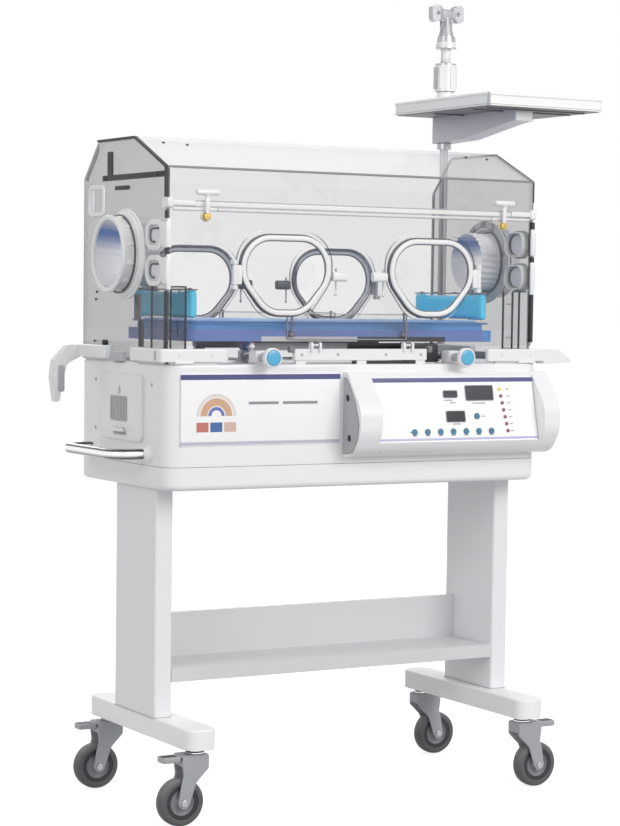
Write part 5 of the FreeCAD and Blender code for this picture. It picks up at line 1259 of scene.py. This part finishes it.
def hinge_rail():
    """Screws along the rail, and a black strip in the gap under it as a painted shadow."""
    screws = [screw_head("y", (x, -216, 964), 3.4, -1.4, 3) for x in (-148, -60, 60, 148)]
    add_piece("rail_screws", join(*screws), STEEL, "base")
    # painted shadow: a black strip in the shaded gap under the rail
    seal = box_pad((-20, 162), (-213.6, -206), (944.4, 950.8), "x", 1.5, 0.6)
    add_piece("rail_gap_painted_shadow", seal, BLACK, "base")
    ends = [box_pad(around(x, 5), (-217.6, -205), (968, 982), "x", 3, 1.5) for x in (-172, 172)]
    add_piece("rail_stops", join(*ends), UNDER, "base")


def moulding_fittings():
    """Clips, feet, slots and buttons on the corner bars."""
    clip = box_pad((458, 474), (-14, 38), (944.2, 964), "z", 3, 1.5)
    add_piece("moulding_clips", both(clip), LINE_GREY, "base")
    foot = box_pad((404, 446), (-221, -206), (944.2, 951), "z", 3, 1.5)
    add_piece("moulding_feet", both(foot), TRIM, "base")
    notch = box_pad((-480.2, -477), (-197, -188), (952, 972), "x", 3, 0.6)
    slot = box_pad((-528, -512), (184.4, 186), (872, 930), "y", 5, 0.4)
    add_piece("moulding_notches", join(notch, slot), LINE_GREY, "base")
    buttons = [screw_head("y", (x, -219, 964), 4, -1.2, 3.4) for x in (-436, -360, 360, 436)]
    add_piece("moulding_buttons", join(*buttons), TRIM, "base")


for side_name, side in SIDES.items():
    latch(side_name, side)
hinge_rail()
moulding_fittings()

# Bed: padded mattress and bolsters, tray, guards

def swollen(name, low, high, corner, finish, body, node, press, cap):
    """A padded block: its coarse form swells under cloth pressure, and each point moves no
    further than cap."""
    x, y, z = zip(low, high)
    form = box_pad(x, y, z, "z", corner, 5.0)
    start = add_piece(f"{name}_start", form, finish, body)
    remesh = start.modifiers.new("even_mesh", "REMESH")
    remesh.mode = "VOXEL"
    remesh.voxel_size = 0.0055
    graph = bpy.context.evaluated_depsgraph_get()
    mesh = bpy.data.meshes.new_from_object(start.evaluated_get(graph))
    bpy.data.objects.remove(start)
    pillow = bpy.data.objects.new(f"{name}_pillow", mesh)
    bpy.context.scene.collection.objects.link(pillow)
    before = points_of(mesh)
    cloth = pillow.modifiers.new("swelling", "CLOTH")
    cloth.settings.use_pressure = True
    cloth.settings.uniform_pressure_force = press
    cloth.settings.effector_weights.gravity = 0
    cloth.settings.quality = 4
    cloth.collision_settings.use_collision = False
    for number in range(1, 21):
        bpy.context.scene.frame_set(number)
    graph = bpy.context.evaluated_depsgraph_get()
    after = points_of(pillow.evaluated_get(graph).to_mesh())
    bpy.context.scene.frame_set(1)
    bpy.data.objects.remove(pillow)
    move = after - before
    length = np.linalg.norm(move, axis=1, keepdims=True)
    move *= np.minimum(1, cap * MM / np.maximum(length, 1e-9))
    placed = before + move
    faces = [list(face.vertices) for face in mesh.polygons]
    form = (held_flat(placed / MM, low, high, cap), faces)
    piece = add_piece(name, form, finish, body, [node] if node else (), 60)
    smooth = piece.modifiers.new("smooth", "SUBSURF")
    smooth.levels = smooth.render_levels = 1
    return piece


def points_of(mesh):
    spots = np.empty(len(mesh.vertices) * 3)
    mesh.vertices.foreach_get("co", spots)
    return spots.reshape(-1, 3)


def held_flat(points, low, high, cap):
    """Points are kept off what the pad lies on and out of its neighbours: each one is clipped to
    the pad's own space."""
    return np.clip(points, np.array(low) - (cap, cap, 0), np.array(high) + (cap, cap, cap))


def piping(outline, level, radius=1.9):
    """A welt carried round an outline at a level in Z."""
    return hoop(outline, level, "z", circle(radius, 10))


def bed_pieces():
    """Mattress with a welt round its top, and a bolster at each end with two straps, a welt and
    studs."""
    swollen(
        "mattress_pad", (-371, -141.5, 994.6), (371, 141.5, 1031), 16, MATTRESS, "bed",
        "mattress", 4, 5.4
    )
    outline = rectangle((-374.5, 374.5), (-145.2, 145.2), 17, 8)
    add_piece("mattress_welt", piping(outline, 1030.2), PIPING, "bed")
    for side_name, side in SIDES.items():
        x = sorted((side * 353, side * 373))
        node = "end_bolsters" if side < 0 else None
        swollen(
            f"bolster_{side_name}", (x[0], -139, 1036.4), (x[1], 139, 1095.5), 8,
            BOLSTER, "bed", node, 4, 3.4,
        )
        loop = rectangle((x[0] - 2.6, x[1] + 2.6), (1038, 1098), 9)
        straps = [hoop(loop, y, "y", bar_section(1.2, 8, 0.5)) for y in (-92, 92)]
        add_piece(f"bolster_seams_{side_name}", join(*straps), BOLSTER, "bed")
        top = rectangle((x[0] + 0.4, x[1] - 0.4), (-138.6, 138.6), 8)
        add_piece(f"bolster_welt_{side_name}", piping(top, 1097, 1.5), UNDER, "bed")
        studs = [
            lathe([(0, 0), (0, 5), (1.6, 4.4), (2, 2), (2, 0)], "z", (side * 363, y, 1098.4), 20)
            for y in (-118, -20, 60, 118)
        ]
        add_piece(f"bolster_studs_{side_name}", join(*studs), BLACK, "bed")


def bed_tray_pieces():
    """The tray's rolled rim and the guards' edges and hinge pins."""
    rim = hoop(rectangle((-380, 380), (-150, 150), 17, 8), 1013, "z", bar_section(4.4, 4, 1.8))
    add_piece("tray_rim_roll", rim, BED, "bed")
    edges, pins = [], []
    stem = [(0, 0), (0, 2.2), (46, 2.2), (49, 3.4), (53, 3), (54, 0)]
    for sign in (-1, 1):
        y = sign * 154
        edges.append(hoop(rectangle((-149, 149), (995, 1049), 4, 5), y, "y", bar_section(2, 4.4, 0.8)))
        for x in (-140, 140):
            spot = (x, y + sign * 3.4, 1004)
            pins.append(lathe([(-6, 0), (-6, 3.6), (6, 3.6), (6, 0)], "x", spot, 18))
            pins.append(lathe(stem, "z", (x, y + sign * 3.4, 1000), 18))
    add_piece("guard_edges", join(*edges), LINE_GREY, "bed")
    add_piece("guard_pins", join(*pins), UNDER, "bed")


def gear_casing():
    """A dark cover with rounded edges over the gear at the right."""
    right = box_pad((137.6, 220), (-173.6, -154.6), (944.4, 987.4), "x", 5, 1.6)
    add_piece("gear_casing", right, BLACK, "base")


bed_pieces()
bed_tray_pieces()
gear_casing()

# Tilting gear

def tilt_knob(side_name, side):
    """A white disc with a blue cap, a skirt, a grey sleeve and the shaft behind it."""
    body = f"tilt_knob_{side_name}"
    line = (side * KNOB_X, 0, KNOB_HEIGHT)
    disc = [
        (-259.4, 0), (-259.6, 16.4), (-261, 17.2), (-261.2, 19), (-259.6, 20.8), (-256.6, 21.2),
        (-250, 21.1), (-247.4, 19), (-247.2, 0)
    ]
    cap = [(-259.3, 16.6), (-261.2, 16.4), (-262.3, 14.4), (-262.7, 10), (-262.8, 0)]
    skirt = [(-248, 17.4), (-244, 16.6), (-235.6, 9), (-235.4, 0)]
    sleeve = [
        (-236.5, 8.6), (-226, 8.8), (-224.6, 9.8), (-214, 9.8), (-212.6, 8.4), (-208.4, 8.4), (-208.4, 0)
    ]
    add_piece(f"knob_disc_{side_name}", lathe(disc, "y", line, 48), TRIM, body)
    add_piece(f"knob_cap_{side_name}", lathe(cap, "y", line, 48), BLUE, body)
    add_piece(f"knob_skirt_{side_name}", lathe(skirt, "y", line, 48), FORK, body)
    add_piece(f"knob_sleeve_{side_name}", lathe(sleeve, "y", line, 40), LINE_GREY, body)


def post_tips():
    """A rounded tip on each lifting post."""
    profile = [(977, 0), (977, 7.3), (979.6, 7.3), (985, 4.8), (988.6, 3), (989.4, 1.8), (989.4, 0)]
    for side_name, side in SIDES.items():
        tip = lathe(profile, "z", (side * POST_X, POST_Y, 0), 32)
        add_piece(f"post_tip_{side_name}", tip, TRIM, f"lift_post_{side_name}")


for side_name, side in SIDES.items():
    tilt_knob(side_name, side)
post_tips()

# Cabinet: label plate, tank cover, push bars

def label_plate():
    """A flat plate at the left of the front."""
    plate = box_pad((-434, -57), (-222.4, -220.6), (776, 925), "y", 4, 0.6)
    add_piece("label_plate", plate, LABEL, "base")


def tank_cover_pieces():
    """A ribbed level window, a drop-shaped mark and a finger lip on the tank's cover with a painted
    shadow strip under the lip, the gap round it and screws."""
    face = 471.6
    window = box_pad((face - 1, face + 0.9), (-43, 31), (822, 869), "x", 3, 0.4)
    surround = hoop(rectangle((-45, 33), (820, 871), 4, 5), face + 0.6, "x", bar_section(2.2, 1.6, 0.6))
    add_piece("tank_window", flipped(window), TANK_WINDOW, "water_tank")
    add_piece("tank_window_frame", flipped(surround), LINE_GREY, "water_tank")
    turn = np.linspace(0, 2 * math.pi, 28, endpoint=False)
    spread = -8 + 6.4 * np.cos(turn) * (1 - 0.55 * np.sin(turn)) / 1.3
    drop = np.stack([spread, 885 + 9.5 * np.sin(turn)], axis=1)
    mark = pad(drop, "x", face - 0.6, face + 0.5, 0.3)
    add_piece("tank_drop_mark", flipped(mark), LINE_GREY, "water_tank")
    lip = box_pad((face, 482.6), (-42, 18), (797, 806), "z", 6, 2.8)
    # painted shadow: a grey strip just under the finger lip
    lip_shadow = box_pad(around(face, 1), (-44, 20), (790, 796), "x", 2.6, 0.8)
    add_piece("tank_lip", flipped(lip), TRIM, "water_tank")
    add_piece("tank_lip_painted_shadow", flipped(lip_shadow), LINE_GREY, "water_tank")
    groove = hoop(rectangle((-113, 89), (781, 919), 14, 8), 465.2, "x", circle(1.0, 8))
    add_piece("tank_cover_gap", flipped(groove), UNDER, "base")
    places = (124, 902), (-150, 900), (124, 798)
    screws = [screw_head("x", (465, y, z), 4, 1.4, 3.4) for y, z in places]
    add_piece("wall_screws", flipped(join(*screws)), LINE_GREY, "base")


def push_bar(side_name, side):
    """A bright tube bent twice, on flared bosses, as one section carried along a rounded path."""
    near, far = PUSH_BAR_ENDS
    turns = [(464, near), (543.4, near), (543.4, far), (464, far)]
    path = rounded([(x, y, PUSH_BAR_HEIGHT) for x, y in turns], 33, 14, closed=False)
    path = spaced(path, 6)
    bar = carried(path, circle(11, 28), (0, 0, 1))
    node = f"push_handle_{side_name}"
    add_piece(f"push_bar_{side_name}", on_side(bar, side), CHROME, "base", [node])
    bosses = []
    for y in PUSH_BAR_ENDS:
        profile = [
            (464.6, 0), (464.6, 21), (466.4, 21), (469, 17), (474, 13.6), (478, 12.4), (479.4, 11.2),
            (479.4, 0)
        ]
        bosses.append(lathe(profile, "x", (0, y, PUSH_BAR_HEIGHT), 40))
    add_piece(f"push_bar_bosses_{side_name}", on_side(join(*bosses), side), TRIM, "base")


def spaced(path, step):
    """The same line with points added every step or less."""
    path = np.array(path, float)
    run = np.concatenate([[0], np.cumsum(np.linalg.norm(np.diff(path, axis=0), axis=1))])
    places = np.union1d(run, np.linspace(0, run[-1], int(run[-1] / step)))
    return np.stack([np.interp(places, run, path[:, number]) for number in range(3)], axis=1)


label_plate()
tank_cover_pieces()
for side_name, side in SIDES.items():
    push_bar(side_name, side)

# Control housing: plate lines, display frames, key marks, sockets

PANEL_TOP = (-240, 915)
PANEL_FOOT = (-270, 778)
PANEL_LEAN = math.degrees(math.atan2(PANEL_TOP[0] - PANEL_FOOT[0], PANEL_TOP[1] - PANEL_FOOT[1]))


def panel_point(z, proud):
    """Y of the sloping panel's face at height z, with proud counted outwards."""
    share = (PANEL_TOP[1] - z) / (PANEL_TOP[1] - PANEL_FOOT[1])
    return PANEL_TOP[0] + (PANEL_FOOT[0] - PANEL_TOP[0]) * share - 3 - proud


def panel_tile(x, z, width, height, low, high, corner=1.5, edge=0.3):
    """A flat tile on the panel, built upright and leaned back about its middle."""
    y = panel_point(z, 0)
    spans = around(x, width / 2), (y - high, y - low), around(z, height / 2)
    tile = box_pad(*spans, "y", corner, edge)
    return turned(tile, "x", -PANEL_LEAN, (x, y, z))


def panel_trim():
    """Violet line above, thin pale line below, frames round the displays and short bars where
    words would be."""
    dark = panel_tile(215.2, 909.6, 415, 9.4, -0.5, 0.7)
    pale = panel_tile(215.2, 783.4, 415, 5, -0.5, 0.7, 0.8)
    add_piece("panel_line_dark", dark, STRIPE_DARK, "base")
    add_piece("panel_line_pale", pale, STRIPE_PALE, "base")
    frames = []
    for x, z, width, height in ((202, 879, 34, 13.7), (277.7, 881, 70, 31), (210.8, 831, 46, 22)):
        half_w, half_h = width / 2 + 0.6, height / 2 + 0.6
        outline = rectangle(around(x, half_w), around(z, half_h), 2.4, 5)
        ring = hoop(outline, panel_point(z, 1.2), "y", bar_section(1.6, 2.2, 0.6), -1)
        frames.append(turned(ring, "x", -PANEL_LEAN, (x, panel_point(z, 0), z)))
    add_piece("display_frames", join(*frames), UNDER, "base")
    marks = [
        (196, 866, 22, 2.6), (207, 861, 15, 2.6), (270, 859, 24, 2.6), (286, 859, 10, 2.6),
        (212, 815, 20, 2.6), (93, 799, 8, 2.6), (283, 831, 9, 2.6),
    ]
    marks += [(353 + 0.48 * lamp, 889 - 15.07 * lamp, 9, 2.4) for lamp in range(7)]
    marks += [(102 + 33 * key, 791.1, 12, 2.2) for key in range(7)]
    bars = [panel_tile(*mark, -0.3, 0.45, 0.8, 0.15) for mark in marks]
    add_piece("panel_marks", join(*bars), MARK, "base")


def first_lamp():
    """The top lamp's yellow lens, set just over the CAD one."""
    z = 889
    y = panel_point(z, 0)
    lens = lathe([(0, 0), (0, 4.3), (-1.5, 4), (-2.1, 2.6), (-2.3, 0)], "y", (332, y, z), 24)
    add_piece("lamp_first", turned(lens, "x", -PANEL_LEAN, (332, y, z)), LAMP_YELLOW, "base")


def housing_fittings():
    """Sockets as black discs of painted shade with their rims, a grey plate of painted shade on the
    housing's left end, and a screw low on its front.
    """
    sockets = []
    rims = []
    for y, z in ((-244, 873), (-252, 788)):
        # painted shade: flat black discs stand for the dark inside of the sockets
        sockets.append(lathe([(-50.1, 0), (-50.1, 7.6), (-49, 7.6), (-49, 0)], "x", (0, y, z), 32))
        rim = [(-51, 7.6), (-51, 8.8), (-50, 9.8), (-49.2, 9.8), (-49.2, 7.6)]
        rims.append(lathe(rim, "x", (0, y, z), 32, True))
    add_piece("housing_socket_painted_shade", join(*sockets), BLACK, "base")
    outline = rounded(
        [(-224, 753), (-262, 758), (-282, 786), (-288, 820), (-270, 868), (-238, 912), (-226, 918)],
        [3, 16, 20, 24, 30, 12, 3], 6
    )
    # painted shade: a grey plate over the housing's shaded left end
    plate = pad(outline, "x", -49.6, -47.4, 0.8)
    add_piece("housing_end_painted_shade", plate, END_PAINTED_SHADE_GREY, "base")
    add_piece("housing_socket_rims", join(*rims), LINE_GREY, "base")
    screw = screw_head("y", (22, -263, 759), 4, -1.2, 3.6)
    add_piece("housing_screw", turned(screw, "x", 34, (22, -263, 759)), LINE_GREY, "base")


panel_trim()
first_lamp()
housing_fittings()

# Accessory pole, arm, tray and hook

def pole_pieces():
    """Ribbed collar, bracket bolts and foot cap of the pole."""
    ribs = []
    for angle in (30, 90, 150, 210, 270, 330):
        rib = box_pad(
            (POLE[0] + 24.6, POLE[0] + 28.6), around(POLE[1], 2.6), (1583, 1635), "z", 1.8, 1.2
        )
        ribs.append(turned(rib, "z", angle, (*POLE, 0)))
    shell = [(1577.2, 10), (1577.2, 24.6), (1578.6, 26), (1639, 26), (1643, 21), (1643, 12)]
    foot = [(1547.6, 10), (1547.6, 21), (1549, 22), (1576, 20.4), (1577.2, 19), (1577.2, 10)]
    rings = lathe(shell, "z", (*POLE, 0), 56), lathe(foot, "z", (*POLE, 0), 48)
    add_piece("pole_collar_shell", join(*rings, *ribs), TRIM, "base")
    profile = [(471, 0), (471, 5), (473.6, 4.6), (474.6, 3), (474.6, 0)]
    bolts = [lathe(profile, "x", (0, y, z), 6) for z in (835, 905) for y in (102, 158)]
    add_piece("bracket_bolts", join(*bolts), STEEL, "base")
    cap = lathe([(717.6, 0), (717.6, 8), (720, 10.6), (724, 10.6), (724, 0)], "z", (*POLE, 0), 32)
    add_piece("pole_foot_cap", cap, BLACK, "base")


def tray_pieces():
    """A shallow tray with a rolled edge and a ribbed underside in dark grey painted shade, and its arm
    with a pale nose block, painted light on its front end."""
    rolled = hoop(rectangle((367, 682), (-137, 261), 12, 8), 1542, "z", bar_section(7, 7, 3))
    seam = hoop(rectangle((366, 683), (-138, 262), 12, 8), 1519.6, "z", bar_section(1, 1.2, 0.4))
    corner = box_pad((365.7, 372), (-138.3, -131), (1517, 1545), "z", 2.8, 0.8)
    add_piece("tray_rolled_edge", rolled, TRAY, "swivel_tray")
    add_piece("tray_edge_seam", join(seam, corner), LINE_GREY, "swivel_tray")
    # painted shade: the underside and its ribs take dark grey
    floor = box_pad((371, 678), (-133, 257), (1514.9, 1516.2), "z", 9, 0.3)
    hub = box_pad(around(POLE[0], 13), around(POLE[1], 13), (1514.8, 1516.4), "z", 12, 0.2)
    ribs = [box_pad((390, 660), around(y, 3), (1511.6, 1515.4), "z", 2, 1) for y in (-96, -40, 120)]
    add_piece("tray_underside_painted_shade", join(floor, *ribs), UNDER, "swivel_tray")
    add_piece("tray_hub_plate", hub, ARM, "swivel_tray")
    # painted light: the arm's front end as a pale block
    nose = box_pad((472.4, 517.6), (-93.6, -66), (1489.6, 1515), "z", 3, 1.6)
    add_piece("arm_nose", nose, TRAY, "swivel_tray")


def hook_pieces():
    """Thin sleeve, flared cup, ribbed stem and a head with two rounded lobes."""
    line = (*POLE, 0)
    profile = [(1643.6, 8.4), (1643.6, 12), (1645.4, 12.6), (1677, 12.6), (1679, 11.4), (1679, 8.4)]
    sleeve = lathe(profile, "z", line, 40)
    profile = [
        (1678.6, 10), (1678.6, 22), (1681, 25.2), (1684, 25.4), (1696, 23), (1706, 21.4),
        (1708, 19.8), (1708, 10),
    ]
    cup = lathe(profile, "z", line, 48)
    add_piece("hook_cup", join(sleeve, cup), TRIM, "hook_rod")
    stem = lathe([(1707, 17.4), (1712, 17.6), (1730, 13.4), (1742, 11.2), (1750, 10.4)], "z", line, 44)
    ribs = []
    for angle in range(0, 360, 45):
        rib = box_pad(
            (POLE[0] + 9.6, POLE[0] + 14.6), around(POLE[1], 1.4), (1709, 1744), "z", 1.0, 0.8
        )
        ribs.append(turned(rib, "z", angle + 12, line))
    lobes, rivets = [], []
    for sign in (-1, 1):
        middle = POLE[0] + sign * 28
        outline = rectangle(around(middle, 15.5), (1742.5, 1781.5), 13, 9)
        lobes.append(pad(outline, "y", POLE[1] - 8.8, POLE[1] + 8.8, 4.6, 6))
        boss = [(-10, 0), (-10, 5.4), (-8.4, 6.4), (8.4, 6.4), (10, 5.4), (10, 0)]
        lobes.append(lathe(boss, "y", (middle, POLE[1], 1762), 28))
        rivet = [(-10.6, 0), (-10.6, 2.8), (10.6, 2.8), (10.6, 0)]
        rivets.append(lathe(rivet, "y", (middle, POLE[1], 1762), 20))
    bridge = box_pad(around(POLE[0], 20), around(POLE[1], 7), (1745, 1772), "z", 5, 4)
    add_piece("hook_head", join(stem, bridge, *ribs, *lobes), ZINC, "hook_rod")
    add_piece("hook_rivets", join(*rivets), UNDER, "hook_rod")


pole_pieces()
tray_pieces()
hook_pieces()

# Stand: weld lines and bolts

def stand_trim():
    """Weld lines round the columns and bolts under the shelf."""
    outline = rectangle((403.4, 445.6), (-133.6, 61.6), 6)
    seams = [hoop(outline, level, "z", circle(1.1, 8)) for level in (202.6, 683.4)]
    profile = [(403.8, 0), (403.8, 5.2), (401.4, 4.8), (400.4, 3), (400.4, 0)]
    bolts = [lathe(profile, "x", (0, y, 292), 6) for y in (-100, 20)]
    add_piece("column_seams", both(*seams), LINE_GREY, "base")
    add_piece("shelf_bolts", both(*bolts), STEEL, "base")


stand_trim()
